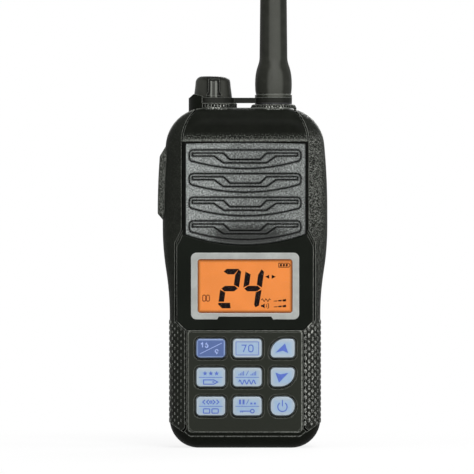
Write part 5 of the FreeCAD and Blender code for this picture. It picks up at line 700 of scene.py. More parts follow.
@dataclass(frozen=True)
class LitDisplay(Finish):
    """A liquid crystal display with its light on: bright in the middle, and dimmer at its rim, where a shade
    from the frame's edge is painted.

    Attributes:
        rim: the colour at the rim, dimmed by painted shade.
        unlit: the colour without its light.
        centre_z_mm, half_width_mm, half_height_mm: the lit field.
        fade_mm: how wide the painted shade at its rim is.
    """

    rim: Colour = seen(112, 62, 30)
    unlit: Colour = seen(26, 14, 8)
    centre_z_mm: float = 64.4
    half_width_mm: float = 18.9
    half_height_mm: float = 10.7
    fade_mm: float = 1.5

    def shader(self, graph: Graph) -> Wire:
        """The glow, dimmed by painted shade near the rim, with a faint even grain."""
        x, _, z = graph.spot()
        past = (abs(x) - self.half_width_mm).most(abs(z - self.centre_z_mm) - self.half_height_mm)
        cloud = graph.noise(9.0, 2).fade(0.3, 0.7)
        lit = graph.mix(self.colour, tuple(channel * 0.93 for channel in self.colour), cloud)
        # The glow falls off near the rim as painted shade from the frame's edge.
        return graph.surface(colour=self.unlit, roughness=self.roughness, gloss=0.05,
                             glow=graph.mix(lit, self.rim, past.fade(-self.fade_mm, 0.0)), glow_strength=1.0)


@dataclass(frozen=True)
class Clear(Finish):
    """A clear hard-coated window."""

    def shader(self, graph: Graph) -> Wire:
        """Almost all light passes, and faint smears show in the shine."""
        smear = graph.noise(6.0, 3).fade(0.4, 0.8)
        return graph.surface(colour=self.colour, roughness=self.roughness + 0.05 * smear, gloss=self.gloss,
                             alpha=0.02 + 0.01 * smear)


@dataclass(frozen=True)
class LitKey(Finish):
    """A key of milky silicone with light behind it, paler and greyer at its rim.

    Attributes:
        rim: the rim's colour.
        skirt: the colour of the sides, which the light behind the key doesn't reach, and of the painted
            shade on its lower side.
        centre_mm: the middle of the key, as X and Z.
        half_mm: half its width and half its height.
        fade_mm: how wide the paler rim is.
        face: the way that a key's face looks, tilted up so that the lower side takes the painted shade.
    """

    rim: Colour = seen(160, 175, 188)
    skirt: Colour = seen(34, 38, 38)
    centre_mm: Point = (0.0, 0.0)
    half_mm: Point = (5.9, 3.9)
    fade_mm: float = 2.4
    face: Way = (0.0, -0.95, 0.3)

    def shader(self, graph: Graph) -> Wire:
        """A blue middle that fades into a grey rim, with a soft bloom, fine dust, and painted shade on its
        lower side.
        """
        x, _, z = graph.spot()
        past_x, past_z = (abs(place - middle) - half for place, middle, half in
                          zip((x, z), self.centre_mm, self.half_mm))
        rim = past_x.most(past_z)
        cloud = graph.noise(1.6, 3).fade(0.25, 0.75)
        body = graph.mix(tuple(channel * 0.94 for channel in self.colour), self.colour, cloud)
        # The dark sides: unlit by the light behind the key, and painted shade on the lower side.
        face = graph.coated(body, (self.rim, rim.fade(-self.fade_mm, -0.25 * self.fade_mm)),
                            (self.skirt, graph.facing(self.face).fade(0.9, 0.6)))
        dust = graph.noise(0.3, 3)
        return self.skin(graph, face, 0.1 * (dust - 0.5), dust, 0.006, glow=face, glow_strength=0.12)


@dataclass(frozen=True)
class Ink(Finish):
    """Printed ink, slightly uneven."""

    def shader(self, graph: Graph) -> Wire:
        """The ink with small thin places."""
        return graph.surface(colour=self.tint(graph, 0.1, 0.8), roughness=self.roughness, gloss=self.gloss)


@dataclass(frozen=True)
class Cloth(Finish):
    """A fine woven mesh.

    Attributes:
        thread_mm: the distance between threads.
        gap: the colour between them.
    """

    thread_mm: float = 0.4
    gap: Colour = seen(8, 8, 8)

    def shader(self, graph: Graph) -> Wire:
        """Two sets of threads that cross."""
        x, _, z = graph.spot()
        turn = 2 * math.pi / self.thread_mm
        weave = (x * turn).sine() * (z * turn).sine()
        return self.skin(graph, graph.mix(self.gap, self.colour, weave.fade(-0.3, 0.5)), 0.0, weave, 0.05)


@dataclass(frozen=True)
class BoardFinish(Finish):
    """A printed board: solder mask over tracks, with plated pads.

    Attributes:
        track: the colour over copper.
        cell_mm: the size of the fields between tracks.
    """

    track: Colour = seen(46, 96, 60)
    cell_mm: float = 1 / 0.45

    def shader(self, graph: Graph) -> Wire:
        """Square-cornered tracks under the mask."""
        cell = graph.node("ShaderNodeTexVoronoi", {"distance": "CHEBYCHEV"},
                          {"Vector": graph.place(), "Scale": 1 / (self.cell_mm * MM), "Randomness": 0.8},
                          "Distance")
        lines = cell.fade(0.42, 0.46)
        return self.skin(graph, graph.mix(self.tint(graph, 0.1, 6.0), self.track, lines), 0.0, lines, 0.02)


class Kind(Enum):
    """The finishes, by the kind of piece that carries them."""

    CASING = FrontCasing("casing_plastic", seen(14, 16, 12), 0.5, 0.03, wear_and_highlight=0.95)
    BACK = Moulding("back_plastic", seen(26, 28, 24), 0.55, 0.08, 0.4, 0.05, wear_and_highlight=0.5)
    GRIP = Grip("grip_rubber", seen(20, 22, 18), 0.55, 0.05, wear_and_highlight=0.8)
    # The studs take two copies of the grip's rubber, lit differently by painted light: bright lit specks on
    # the right, a paler ground with fainter painted specks on the left.
    STUD_LEFT = Grip("left_studs", seen(58, 60, 56), 0.5, 0.08, speckle=0.0, base_share=0.5, low_dark=0.0)
    STUD_RIGHT = Grip("right_studs", seen(40, 42, 38), 0.5, 0.08, shine=seen(185, 187, 181), speckle=1.0,
                      base_share=0.05, low_dark=0.0)
    PAD = Grip("talk_pad_rubber", seen(34, 36, 32), 0.55, 0.05, wear_and_highlight=0.8, base_share=0.34)
    PLATE = SparklePaint("grille_paint", seen(92, 95, 93), 0.5, 0.2)
    PANEL = GlossPanel("panel_gloss", seen(16, 19, 15), 0.12, 0.05)
    SILVER = Metal("silver_paint", seen(148, 150, 147), 0.38, 0.25, 0.15, (1.0, 1.0, 1.0), 0.5, wear_and_highlight=0.45)
    DISPLAY = LitDisplay("lit_display", seen(244, 144, 69), 0.4)
    SEGMENT = Ink("display_ink", seen(14, 6, 6), 0.5, 0.03)
    FAINT = Ink("faint_display_ink", seen(120, 62, 30), 0.5, 0.03)
    WINDOW = Clear("clear_window", seen(90, 84, 78), 0.06, 0.3)
    GUIDE = Moulding("light_guide", seen(232, 226, 205), 0.3, 0.4)
    WHITE = Moulding("white_plastic", seen(205, 205, 198), 0.45, 0.4)
    SILICONE = Moulding("grey_silicone", seen(120, 124, 126), 0.6, 0.3)
    BLUE_INK = Ink("blue_ink", seen(78, 98, 170), 0.5, 0.1)
    PALE_INK = Ink("pale_ink", seen(142, 158, 204), 0.5, 0.1)
    STEEL = Metal("steel", seen(170, 170, 172), 0.35, 0.5)
    BLACK_STEEL = Metal("black_steel", seen(58, 58, 60), 0.4, 0.5)
    BOARD = BoardFinish("board", seen(28, 78, 46), 0.4, 0.5)
    CAST = Metal("cast_alloy", seen(150, 152, 152), 0.55, 0.5, 0.9, (1.0, 1.0, 1.0), 0.9)
    PAPER = Moulding("cone_paper", seen(38, 36, 34), 0.8, 0.2, 0.6, 0.06)
    CLOTH = Cloth("speaker_cloth", seen(34, 34, 34), 0.85, 0.2)
    MAGNET = Metal("ferrite", seen(64, 62, 62), 0.6, 0.4, 0.5)
    DARK = Moulding("dark_plastic", seen(30, 31, 30), 0.5, 0.35)
    CLIP = Moulding("clip_plastic", seen(26, 27, 24), 0.42, 0.16, 0.5, 0.03, wear_and_highlight=0.4)
    CELL = Moulding("cell_wrap", seen(52, 92, 140), 0.35, 0.5)
    GOLD = Metal("gold_plating", seen(212, 172, 92), 0.28, 0.5)
    SEAL = Moulding("seal_rubber", seen(30, 30, 30), 0.6, 0.3)
    STRAP = Moulding("strap_rubber", seen(24, 25, 22), 0.5, 0.05, 0.3, 0.03, wear_and_highlight=0.2, front_sheen_share=0.06)
    FERRULE = Moulding("ferrule_coat", seen(30, 32, 27), 0.4, 0.08, 0.3, 0.02, wear_and_highlight=0.9, front_sheen_share=0.5)
    CAP = CapPlastic("cap_plastic", seen(31, 32, 28), 0.4, 0.06, 0.3, 0.02, wear_and_highlight=0.5)
    ANTENNA = Moulding("antenna_rubber", seen(36, 37, 33), 0.48, 0.05, 0.35, 0.03, front_sheen_share=0.38)
    COPPER = Metal("copper", seen(184, 116, 78), 0.3, 0.5)


class Sketch:
    """Flat shapes on a plane that faces the front, made into thin closed plates."""

    def __init__(self, y_mm: float, thickness_mm: float, origin_mm: Point = (0.0, 0.0)) -> None:
        """Starts an empty sketch.

        Args:
            y_mm: the plane of the plates' front.
            thickness_mm: how far the plates reach back.
            origin_mm: the X and Z that the shapes' points count from.
        """
        self.front, self.back = y_mm, y_mm + thickness_mm
        self.origin = origin_mm
        self.mesh = bmesh.new()

    def rim(self, points: list[Point], y_mm: float) -> list[bmesh.types.BMVert]:
        """The points as vertices in one plane."""
        return [self.mesh.verts.new(((x + self.origin[0]) * MM, y_mm * MM, (z + self.origin[1]) * MM))
                for x, z in points]

    def polygon(self, points: list[Point]) -> None:
        """A plate with that outline, its points in either order."""
        front, back = self.rim(points, self.front), self.rim(points, self.back)
        self.mesh.faces.new(front)
        self.mesh.faces.new(back[::-1])
        for one, two in zip(range(len(points)), [*range(1, len(points)), 0]):
            self.mesh.faces.new((front[two], front[one], back[one], back[two]))

    def bar(self, left: float, low: float, width: float, heights: Point) -> None:
        """An upright bar with those heights at its left and its right."""
        right = left + width
        self.polygon([(left, low), (right, low), (right, low + heights[1]), (left, low + heights[0])])

    def stroke(self, points: list[Point], width: float, closed: bool = False) -> None:
        """A line of constant width with mitred corners.

        Args:
            points: the middle of the line.
            width: its width.
            closed: whether its end joins its start.
        """
        sides: list[tuple[Point, Point]] = []
        count = len(points)
        for place, (x, z) in enumerate(points):
            before = points[place - 1] if place or closed else points[0]
            after = points[(place + 1) % count] if place < count - 1 or closed else points[-1]
            one = Vector((x - before[0], z - before[1]))
            two = Vector((after[0] - x, after[1] - z))
            one, two = one if one.length else two, two if two.length else one
            along = (one.normalized() + two.normalized()).normalized()
            out = Vector((-along.y, along.x))
            reach = width / 2 / max(0.35, math.cos(one.angle(two) / 2))
            sides.append(((x + out.x * reach, z + out.y * reach), (x - out.x * reach, z - out.y * reach)))
        left, right = [list(side) for side in zip(*sides)]
        rims = [self.rim(left, self.front), self.rim(right, self.front),
                self.rim(right, self.back), self.rim(left, self.back)]
        pairs = list(zip(range(count - 1), range(1, count))) + ([(count - 1, 0)] if closed else [])
        for one, two in pairs:
            for near, far in zip(rims, rims[1:] + rims[:1]):
                self.mesh.faces.new((near[one], near[two], far[two], far[one]))
        if not closed:
            self.mesh.faces.new([rim[0] for rim in rims])
            self.mesh.faces.new([rim[-1] for rim in rims][::-1])

    def ring(self, x: float, z: float, radius: float, width: float, start: float = 0.0,
             turn: float = 360.0) -> None:
        """A round line, or an arc of one, with its angles in degrees from the right."""
        closed = turn >= 360
        steps = max(6, round(turn / 15))
        angles = [math.radians(start + turn * step / steps) for step in range(steps + (not closed))]
        self.stroke([(x + radius * math.cos(a), z + radius * math.sin(a)) for a in angles], width, closed)

    def rounded(self, width: float, height: float, corner: float, line: float = 0.0,
                middle: Point = (0.0, 0.0)) -> None:
        """A rectangle with round corners, filled, or as an outline where line is above 0."""
        points = []
        for quarter, (sx, sz) in enumerate(((1, 1), (-1, 1), (-1, -1), (1, -1))):
            for step in range(5):
                angle = math.radians(90 * quarter + 22.5 * step)
                points.append((middle[0] + sx * (width / 2 - corner) + corner * math.cos(angle),
                               middle[1] + sz * (height / 2 - corner) + corner * math.sin(angle)))
        if line:
            self.stroke(points, line, True)
        else:
            self.polygon(points)

    def piece(self, name: str, finish: Finish, body: str, slot: str) -> bpy.types.Object:
        """The finished piece, riding on its body."""
        bmesh.ops.recalc_face_normals(self.mesh, faces=self.mesh.faces)
        return finished(self.mesh, name, finish, body)


def finished(mesh: bmesh.types.BMesh, name: str, finish: Finish, body: str,
             smooth: bool = False) -> bpy.types.Object:
    """A mesh as a piece of the radio.

    Args:
        mesh: the mesh, which is used up.
        name: the piece's name.
        finish: its finish.
        body: the body that it moves with.
        smooth: whether its faces shade smoothly.

    Returns:
        The piece.
    """
    data = bpy.data.meshes.new(name)
    mesh.to_mesh(data)
    mesh.free()
    if smooth:
        data.shade_smooth()
    piece = bpy.data.objects.new(name, data)
    bpy.context.scene.collection.objects.link(piece)
    data.materials.append(finish.material())
    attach(piece, body)
    return piece


def dress(node: str, finish: Finish) -> None:
    """Gives a carried-over piece of the frame its finish."""
    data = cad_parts[node].data
    data.materials.clear()
    data.materials.append(finish.material())


def nodes(**finishes: Kind) -> dict[str, Kind]:
    """A dataclass field whose default is the finish of each named node."""
    return field(default_factory=lambda: dict(finishes))


def tree_of(node: str) -> BVHTree:
    """A search tree of a node's faces."""
    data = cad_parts[node].data
    return BVHTree.FromPolygons([v.co for v in data.vertices], [list(p.vertices) for p in data.polygons])


@dataclass
class Assembly:
    """A sub-assembly made of nodes of the frame.

    Attributes:
        finishes: the finish of each node.
    """

    finishes: dict[str, Kind] = field(default_factory=dict)

    def build(self) -> int:
        """Dresses the nodes and returns how many pieces the sub-assembly has."""
        for node, kind in self.finishes.items():
            dress(node, kind.value)
        return len(self.finishes)


@dataclass
class Casing(Assembly):
    """Both casing shells with what seals and holds them."""

    finishes: dict[str, Kind] = nodes(
        front_casing=Kind.CASING, rear_casing=Kind.BACK, casing_gasket=Kind.SEAL,
        casing_screws=Kind.BLACK_STEEL)


@dataclass
class Grips:
    """The grained side grips with their raised studs.

    Attributes:
        top_mm, bottom_mm: the levels between which the studs stand.
        side_row_mm, front_row_mm: the distance between studs of one column, on the sides and in front.
        column_mm: the distance between columns, along the surface.
        side_half_mm: half the width and height of a stud on the side.
        front_half_mm: the same in front, for the left and the right grip.
        rise_mm: how far a stud stands proud.
        front_facing: the Y of the surface's normal below which it counts as the front.
        start_y_mm: where the columns start, at the parting line.
        steps: the corners of a stud's outline.
        columns: the most columns on a grip.
        rings: a stud's rings, from its foot to its top, as shares of its width and of its rise.
        outside_mm: an X that is outside both grips.
        turned_back: the Y of a step's direction over which a row ends.
        slip_share: how far the surface may be from a step, as a share of it.
        least_turn: the least cosine between the normals of two neighbours.
    """

    top_mm: float = 50.0
    bottom_mm: float = 8.0
    side_row_mm: float = 4.34
    front_row_mm: float = 2.6
    column_mm: float = 1.5
    side_half_mm: Point = (0.5, 1.1)
    front_half_mm: dict[int, Point] = field(default_factory=lambda: {-1: (0.3, 0.7), 1: (0.62, 0.95)})
    rise_mm: float = 0.3
    front_facing: float = -0.45
    start_y_mm: float = 2.4
    steps: int = 10
    columns: int = 26
    rings: tuple[Point, ...] = ((1.0, -0.15), (0.8, 0.6), (0.45, 0.92))
    outside_mm: float = 60.0
    turned_back: float = 0.1
    slip_share: float = 0.5
    least_turn: float = 0.2

    def stud(self, mesh: bmesh.types.BMesh, place: Vector, normal: Vector, half_mm: Point) -> None:
        """One oval dome of that half width and half height on the surface."""
        across = normal.cross(Vector(UP)).normalized()
        up = across.cross(normal).normalized()
        rings = []
        for share, rise in self.rings:
            rings.append([mesh.verts.new(place + MM * (
                across * (half_mm[0] * share * math.cos(2 * math.pi * k / self.steps))
                + up * (half_mm[1] * share * math.sin(2 * math.pi * k / self.steps))
                + normal * (self.rise_mm * rise))) for k in range(self.steps)])
        for low, high in zip(rings, rings[1:]):
            for k in range(self.steps):
                after = (k + 1) % self.steps
                mesh.faces.new((low[k], low[after], high[after], high[k]))
        mesh.faces.new(rings[-1])
        mesh.faces.new(rings[0][::-1])

    def walk(self, tree: BVHTree, side: int, z: float) -> list[tuple[Vector, Vector]]:
        """Steps along the grip at one level, from the parting line forward and round to the front.

        Args:
            tree: the grip's faces.
            side: -1 for the left grip and 1 for the right.
            z: the level in metres.

        Returns:
            Places and normals, one for each column.
        """
        outside = Vector((side * self.outside_mm * MM, self.start_y_mm * MM, z))
        place, normal, *_ = tree.ray_cast(outside, Vector((-side, 0, 0)))
        found = []
        while place is not None and len(found) < self.columns:
            found.append((place, normal))
            ahead = Vector(UP).cross(normal).normalized() * (-side)
            if ahead.y > self.turned_back:
                break
            guess = place + ahead * self.column_mm * MM
            near, facing, _, gap = tree.find_nearest(guess)
            if near is None or gap > self.slip_share * self.column_mm * MM:
                break
            if facing.dot(normal) < self.least_turn:
                break
            place, normal = near, facing
        return found

    def build(self) -> int:
        """Dresses the grips, adds the studs and returns how many studs there are."""
        total = 0
        for side, name in ((-1, "grip_left"), (1, "grip_right")):
            dress(name, Kind.GRIP.value)
            tree = tree_of(name)
            mesh = bmesh.new()
            for front, row_mm in ((False, self.side_row_mm), (True, self.front_row_mm)):
                half_mm = self.front_half_mm[side] if front else self.side_half_mm
                for half_row in range(int((self.top_mm - self.bottom_mm) / row_mm * 2) + 1):
                    z = (self.top_mm - half_row * row_mm / 2) * MM
                    for column, (place, normal) in enumerate(self.walk(tree, side, z)):
                        if column % 2 == half_row % 2 and (normal.y < self.front_facing) == front:
                            self.stud(mesh, place, normal, half_mm)
                            total += 1
            # The right studs take the copy with painted light from the right.
            kind = Kind.STUD_RIGHT if side > 0 else Kind.STUD_LEFT
            finished(mesh, name.replace("grip", "grip_studs"), kind.value, "radio", True)
        return total


@dataclass
class Speaker(Assembly):
    """The grille plate and what is behind it."""

    finishes: dict[str, Kind] = nodes(
        grille_plate=Kind.PLATE, speaker_mesh=Kind.CLOTH, speaker_frame=Kind.DARK,
        speaker_cone=Kind.PAPER, speaker_magnet=Kind.MAGNET, microphone=Kind.BLACK_STEEL)


@dataclass
class Display(Assembly):
    """The display with its frame, window, figures and small marks.

    Attributes:
        mark_mm: how thick the marks are.
        line_mm: the width of their lines.
        battery_mm, arrows_mm, speaker_mm, book_mm: the X and Z of the battery mark, the twin
            arrowheads, the speaker mark and the open book.
        bars_mm, bar_levels_mm: where the rising bars start, and their two levels.
    """

    mark_mm: float = 0.05
    line_mm: float = 0.28
    battery_mm: Point = (15.7, 72.7)
    arrows_mm: Point = (10.1, 68.1)
    speaker_mm: Point = (7.7, 56.5)
    book_mm: Point = (-15.5, 59.6)
    bars_mm: float = 11.4
    bar_levels_mm: Point = (58.3, 56.0)
    finishes: dict[str, Kind] = nodes(
        display_panel=Kind.PANEL, display_frame=Kind.SILVER, display_window=Kind.WINDOW,
        display_glass=Kind.DISPLAY, display_segments=Kind.SEGMENT, display_backlight=Kind.GUIDE,
        display_holder=Kind.WHITE)

    def sketch(self) -> Sketch:
        """An empty sketch in the plane of the figures."""
        return Sketch(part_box("display_segments")[0].y / MM, self.mark_mm)

    def battery(self, sketch: Sketch) -> None:
        """The battery mark with its three slanted bars."""
        x, z = self.battery_mm
        sketch.stroke([(x - 2.3, z - 0.8), (x + 1.6, z - 0.8), (x + 2.3, z), (x + 1.6, z + 0.8),
                       (x - 2.3, z + 0.8)], self.line_mm, True)
        for step in range(3):
            left = x - 1.9 + step * 1.15
            sketch.polygon([(left, z - 0.5), (left + 0.8, z - 0.5), (left + 0.95, z + 0.5),
                            (left + 0.15, z + 0.5)])

    def speaker(self, sketch: Sketch) -> None:
        """The speaker mark: a small horn with two arcs."""
        x, z = self.speaker_mm
        sketch.polygon([(x - 1.3, z - 0.4), (x - 0.7, z - 0.4), (x + 0.1, z - 1.0), (x + 0.1, z + 1.0),
                        (x - 0.7, z + 0.4), (x - 1.3, z + 0.4)])
        for radius in (0.9, 1.7):
            sketch.ring(x, z, radius, self.line_mm, -40, 80)

    def marks(self) -> bpy.types.Object:
        """The battery mark, the arrowheads, the bars, the wave and the speaker mark."""
        sketch = self.sketch()
        self.battery(sketch)
        x, z = self.arrows_mm
        for way in (-1, 1):
            sketch.polygon([(x + way * 0.5, z - 0.8), (x + way * 2.1, z), (x + way * 0.5, z + 0.8)])
        for level in self.bar_levels_mm:
            for step, height in enumerate((0.35, 0.7, 1.0)):
                sketch.bar(self.bars_mm + step * 1.75, level, 1.4, (0.7 * height, height))
        sketch.stroke([(6.5 + 0.3 * step, 58.8 + 0.55 * math.sin(step * 1.3)) for step in range(13)],
                      self.line_mm)
        self.speaker(sketch)
        return sketch.piece("display_marks", Kind.SEGMENT.value, "radio", "segments")

    def book(self) -> bpy.types.Object:
        """The faint open book, as two round-cornered leaves."""
        sketch = self.sketch()
        x, z = self.book_mm
        for way in (-1, 1):
            sketch.rounded(1.2, 2.4, 0.5, 1.4 * self.line_mm, (x + way * 0.75, z))
        return sketch.piece("display_book", Kind.FAINT.value, "radio", "segments")

    def build(self) -> int:
        """Dresses the display's nodes, adds the marks and returns how many pieces there are."""
        return super().build() + len([self.marks(), self.book()])


@dataclass(frozen=True)
class KeyStyle:
    """How a key is lit and printed.

    Attributes:
        middle, rim: the colours of its middle and its rim.
        fade_mm: how wide its rim is.
        ink: the finish of its sign.
        slot: the name of its sign's material slot, which is not used.
    """

    middle: Colour
    rim: Colour
    fade_mm: float
    ink: Kind
    slot: str


@dataclass
class Keypad:
    """The nine keys with their printed signs, the mat and the domes.

    Attributes:
        ink_mm: how thick the print is.
        line_mm: the width of its lines.
        flange_mm: how far a key's hidden flange reaches past its face.
        thin_mm, divider_mm: the width of thin lines, and of the line between two signs.
        foot_mm: the level on which upper signs stand.
        pale, blue: how the common keys and the one blue key look.
    """

    ink_mm: float = 0.04
    line_mm: float = 0.42
    flange_mm: float = 0.45
    thin_mm: float = 0.26
    divider_mm: float = 0.24
    foot_mm: float = 0.75
    pale: KeyStyle = KeyStyle(seen(130, 152, 175), seen(142, 154, 164), 2.4, Kind.BLUE_INK, "key")
    blue: KeyStyle = KeyStyle(seen(66, 85, 130), seen(112, 130, 166), 1.1, Kind.PALE_INK, "key_blue")

    def split_sign(self, sketch: Sketch) -> None:
        """The line between two signs of one key."""
        sketch.stroke([(-4.7, 0), (4.7, 0)], self.divider_mm)

    def star(self, sketch: Sketch, x: float, z: float, size: float) -> None:
        """A five-pointed star."""
        reach = [size, 0.45 * size] * 5
        sketch.polygon([(x + out * math.sin(k * math.pi / 5), z + out * math.cos(k * math.pi / 5))
                        for k, out in enumerate(reach)])

    def sign_sixteen(self, sketch: Sketch) -> None:
        """The channel numbers 16 and 9 with a slanted line between them."""
        sketch.stroke([(-4.4, -2.2), (4.3, 2.1)], self.thin_mm)
        sketch.stroke([(-3.9, 1.7), (-3.3, 2.2), (-3.3, 0.4)], self.line_mm)
        sketch.ring(-1.7, 1.0, 0.55, self.line_mm)
        sketch.stroke([(-2.25, 1.1), (-2.1, 1.7), (-1.5, 2.25)], self.line_mm)
        sketch.ring(2.3, -1.0, 0.55, self.line_mm)
        sketch.stroke([(2.85, -1.1), (2.7, -1.7), (2.1, -2.25)], self.line_mm)

    def sign_channel(self, sketch: Sketch) -> None:
        """The channel number 70 in a frame."""
        sketch.rounded(9.0, 5.2, 0.35, self.thin_mm)
        sketch.stroke([(-2.3, 1.3), (-0.5, 1.3), (-1.6, -1.4)], self.line_mm)
        sketch.rounded(1.75, 2.7, 0.8, self.line_mm, (1.4, 0.0))

    def sign_up(self, sketch: Sketch) -> None:
        """An arrowhead that points up."""
        sketch.polygon([(0.9, 2.0), (2.2, -1.9), (0.1, -0.9), (-2.9, -1.7)])

    def sign_down(self, sketch: Sketch) -> None:
        """An arrowhead that points down."""
        sketch.polygon([(-1.5, -2.1), (-2.9, 1.9), (-0.9, 1.2), (2.3, 1.8)])

    def sign_favourite(self, sketch: Sketch) -> None:
        """Stars over a line, and a tag under it."""
        self.split_sign(sketch)
        for x in (-2.3, 0.0, 2.3):
            self.star(sketch, x, 1.55, 1.0)
        sketch.stroke([(-2.9, -1.0), (1.2, -1.0), (2.7, -1.85), (1.2, -2.7), (-2.9, -2.7)],
                      self.line_mm, True)
        sketch.ring(1.0, -1.85, 0.3, 0.22)

    def sign_volume(self, sketch: Sketch) -> None:
        """Two sets of rising bars over a line, and a wave under it."""
        self.split_sign(sketch)
        for start in (-3.5, 1.3):
            for step in range(4):
                sketch.bar(start + step * 0.62, self.foot_mm, 0.34, (0.45 + step * 0.4, 0.55 + step * 0.4))
        sketch.stroke([(-0.5, self.foot_mm), (0.5, 2.6)], self.thin_mm)
        wave = [(-3.4 + 0.34 * k, -1.85 + 0.85 * math.sin(k * 1.18)) for k in range(21)]
        sketch.stroke(wave, self.line_mm)

    def sign_scan(self, sketch: Sketch) -> None:
        """Arrowheads that run to both sides over a line, and twin fields under it."""
        self.split_sign(sketch)
        for way in (-1, 1):
            for step in range(2):
                tip = way * (3.2 - step * 1.5)
                sketch.stroke([(tip - way * 0.95, 2.6), (tip, 1.7), (tip - way * 0.95, 0.8)], self.line_mm)
            sketch.rounded(2.5, 1.7, 0.25, self.line_mm, (way * 1.7, -1.85))
        sketch.ring(0.0, 1.7, 0.45, self.line_mm)

    def sign_lock(self, sketch: Sketch) -> None:
        """Two tall and two short bars over a line, and a key under it."""
        self.split_sign(sketch)
        for left, height in ((-3.3, 1.95), (-1.9, 1.95), (1.2, 0.75), (2.6, 0.75)):
            sketch.bar(left, self.foot_mm, 0.8, (height, height))
        sketch.stroke([(-0.4, self.foot_mm), (0.6, 2.7)], self.thin_mm)
        sketch.stroke([(-3.0, -1.9), (1.3, -1.9)], self.line_mm)
        for x in (-2.6, -1.9):
            sketch.stroke([(x, -1.9), (x, -2.5)], self.thin_mm)
        sketch.ring(2.0, -1.9, 0.72, self.line_mm)

    def sign_power(self, sketch: Sketch) -> None:
        """A ring that is open at its top, with an upright bar in the gap."""
        sketch.ring(-0.1, -0.2, 1.85, self.line_mm, 125, 290)
        sketch.stroke([(-0.1, 0.0), (-0.1, 2.5)], self.line_mm)

    def build(self) -> int:
        """Dresses the keys, prints a sign on each and returns how many pieces there are."""
        dress("keypad_mat", Kind.SILICONE.value)
        dress("key_domes", Kind.STEEL.value)
        keys = sorted(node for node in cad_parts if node.startswith("key_") and node != "key_domes")
        for node in keys:
            word = node.removeprefix("key_")
            style = self.blue if word == "sixteen" else self.pale
            low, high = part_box(node)
            centre = ((low.x + high.x) / 2 / MM, (low.z + high.z) / 2 / MM)
            half = ((high.x - low.x) / 2 / MM - self.flange_mm, (high.z - low.z) / 2 / MM - self.flange_mm)
            dress(node, LitKey(f"{word}_key", style.middle, 0.42, 0.3, style.rim, centre_mm=centre,
                               half_mm=half, fade_mm=style.fade_mm))
            start = Vector((centre[0] * MM, low.y - MM, centre[1] * MM))
            face = tree_of(node).ray_cast(start, Vector(BACK))[0]
            sketch = Sketch(face.y / MM - self.ink_mm, 1.5 * self.ink_mm, centre)
            getattr(self, f"sign_{word}")(sketch)
            sketch.piece(f"sign_{word}", style.ink.value, node, style.slot)
        return len(keys) * 2 + 2


@dataclass
class TopFittings(Assembly):
    """The jack with its cap and strap, the antenna, and the push-to-talk pad."""

    finishes: dict[str, Kind] = nodes(
        jack_socket=Kind.DARK, accessory_jack=Kind.GOLD, jack_cap=Kind.CAP, jack_cap_seal=Kind.SEAL,
        cap_tether=Kind.STRAP, antenna_socket=Kind.BLACK_STEEL, antenna_seal=Kind.SEAL,
        antenna_ferrule=Kind.FERRULE, antenna_sleeve=Kind.ANTENNA, antenna_core=Kind.WHITE,
        antenna_coil=Kind.COPPER, talk_pad=Kind.PAD, talk_switch=Kind.DARK)


@dataclass
class Inside(Assembly):
    """The board, the chassis and their screws."""

    finishes: dict[str, Kind] = nodes(
        main_board=Kind.BOARD, board_screws=Kind.STEEL, shield_cans=Kind.STEEL, chassis=Kind.CAST)


@dataclass
class Battery(Assembly):
    """The battery pack with its latch and belt clip."""

    finishes: dict[str, Kind] = nodes(
        battery_case=Kind.BACK, battery_cover=Kind.BACK, battery_cells=Kind.CELL,
        battery_contacts=Kind.GOLD, terminal_block=Kind.DARK, terminal_springs=Kind.GOLD,
        battery_latch=Kind.CLIP, latch_spring=Kind.STEEL, clip_bracket=Kind.CLIP, clip_pin=Kind.STEEL,
        belt_clip=Kind.CLIP, clip_spring=Kind.STEEL, clip_screws=Kind.BLACK_STEEL)


@dataclass(frozen=True)
class Lamp:
    """A soft rectangular lamp that points at the radio.

    Attributes:
        name: its name.
        place: where it stands, in metres.
        size: its width and height, in metres.
        power: its power, in watts.
    """

    name: str
    place: Way
    size: Point
    power: float


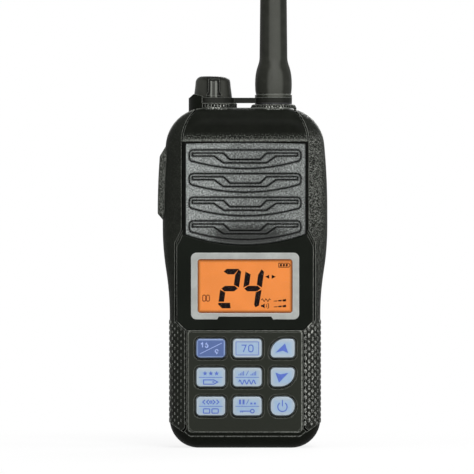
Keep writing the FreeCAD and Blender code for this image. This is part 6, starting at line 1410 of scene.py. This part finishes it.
@dataclass
class Studio:
    """The floor, the white surroundings, the lamps and the camera.

    Attributes:
        view_mm: the width that the picture takes in at the radio.
        aim_mm: the X and Z of the picture's middle.
        distance_mm: how far the camera stands.
        sensor_mm: the width of the camera's sensor.
        fill: the level of the surroundings on the radio.
        floor_size: the floor's width, in metres.
        shadow_mm: the distance from the radio over which the floor's shadow begins.
        lamps: the lamps.
    """

    view_mm: float = 189.6
    aim_mm: Point = (-3.2, 83.9)
    distance_mm: float = 3000.0
    sensor_mm: float = 36.0
    fill: float = 0.2
    floor_size: float = 6.0
    shadow_mm: Point = (300.0, 60.0)
    lamps: tuple[Lamp, ...] = (
        Lamp("front_lamp", (0.25, -1.2, 0.75), (0.4, 0.5), 17.0),
        Lamp("back_lamp", (0.3, 1.3, 0.8), (0.6, 0.6), 14.0),
        Lamp("right_lamp", (1.2, -0.35, 0.4), (0.4, 0.9), 2.5),
        Lamp("left_lamp", (-1.0, -0.9, 0.6), (0.4, 0.9), 1.5),
        Lamp("top_lamp", (0.1, -0.3, 1.3), (0.9, 0.6), 5.0))

    def camera(self) -> None:
        """A long lens, level with the middle of the radio."""
        data = bpy.data.cameras.new("camera")
        data.sensor_width = self.sensor_mm
        data.lens = self.sensor_mm * self.distance_mm / self.view_mm
        data.clip_end = 100.0
        camera = bpy.data.objects.new("camera", data)
        camera.location = (self.aim_mm[0] * MM, -self.distance_mm * MM, self.aim_mm[1] * MM)
        camera.rotation_euler = (math.pi / 2, 0, 0)
        bpy.context.scene.collection.objects.link(camera)
        bpy.context.scene.camera = camera

    def lamp(self, lamp: Lamp) -> None:
        """Adds one of the lamps."""
        data = bpy.data.lights.new(lamp.name, "AREA")
        data.shape = "RECTANGLE"
        data.size, data.size_y = lamp.size
        data.energy = lamp.power
        made = bpy.data.objects.new(lamp.name, data)
        made.location = lamp.place
        aim = Vector((0, 0, self.aim_mm[1] * MM)) - Vector(lamp.place)
        made.rotation_euler = aim.to_track_quat("-Z", "Y").to_euler()
        bpy.context.scene.collection.objects.link(made)

    def shown(self, graph: Graph) -> Wire:
        """1 for rays that show the surroundings: to the camera, in reflections and through glass."""
        path = graph.node("ShaderNodeLightPath").socket.node
        eye, shine, glass = (Wire(graph, path.outputs[f"Is {word} Ray"])
                             for word in ("Camera", "Glossy", "Transmission"))
        return eye.most(shine).most(glass)

    def world(self) -> None:
        """White to the eye, and a plain soft fill on the radio."""
        world = bpy.data.worlds.new("surroundings")
        bpy.context.scene.world = world
        world.use_nodes = True
        graph = Graph(world.node_tree)
        white = graph.node("ShaderNodeBackground", None, {"Color": (1, 1, 1), "Strength": 1.0})
        soft = graph.node("ShaderNodeBackground", None, {"Color": (1, 1, 1), "Strength": self.fill})
        graph.end(graph.node("ShaderNodeMixShader", None, {0: self.shown(graph), 1: soft, 2: white}),
                  "ShaderNodeOutputWorld")

    def floor(self) -> None:
        """A pale floor that is white to the eye and keeps the radio's shadow."""
        mesh = bmesh.new()
        bmesh.ops.create_grid(mesh, x_segments=8, y_segments=8, size=self.floor_size / 2)
        data = bpy.data.meshes.new("floor")
        mesh.to_mesh(data)
        mesh.free()
        floor = bpy.data.objects.new("floor", data)
        bpy.context.scene.collection.objects.link(floor)
        material = bpy.data.materials.new("pale_floor")
        material.use_nodes = True
        graph = Graph(material.node_tree)
        x, y, _ = graph.spot()
        near = (x * x + y * y).root().fade(*self.shadow_mm)
        pale = graph.surface(colour=(0.8, 0.8, 0.8), roughness=0.9, gloss=0.0)
        white = graph.node("ShaderNodeEmission", None, {"Color": (1, 1, 1), "Strength": 1.0})
        share = self.shown(graph) * (1 - 0.15 * near)
        graph.end(graph.node("ShaderNodeMixShader", None, {0: share, 1: pale, 2: white}))
        data.materials.append(material)

    def build(self) -> int:
        """Sets the studio up and returns how many lamps there are."""
        self.camera()
        self.world()
        self.floor()
        for lamp in self.lamps:
            self.lamp(lamp)
        bpy.context.scene.view_settings.view_transform = "Standard"
        return len(self.lamps)


def main() -> None:
    """Builds the radio's looks and the studio."""
    logging.basicConfig(level=logging.INFO, format="%(name)s: %(message)s")
    for kind in (Studio, Casing, Grips, Speaker, Display, Keypad, TopFittings, Inside, Battery):
        LOG.info("%s: %d", kind.__name__, kind().build())


if __name__ == "__main__":
    main()
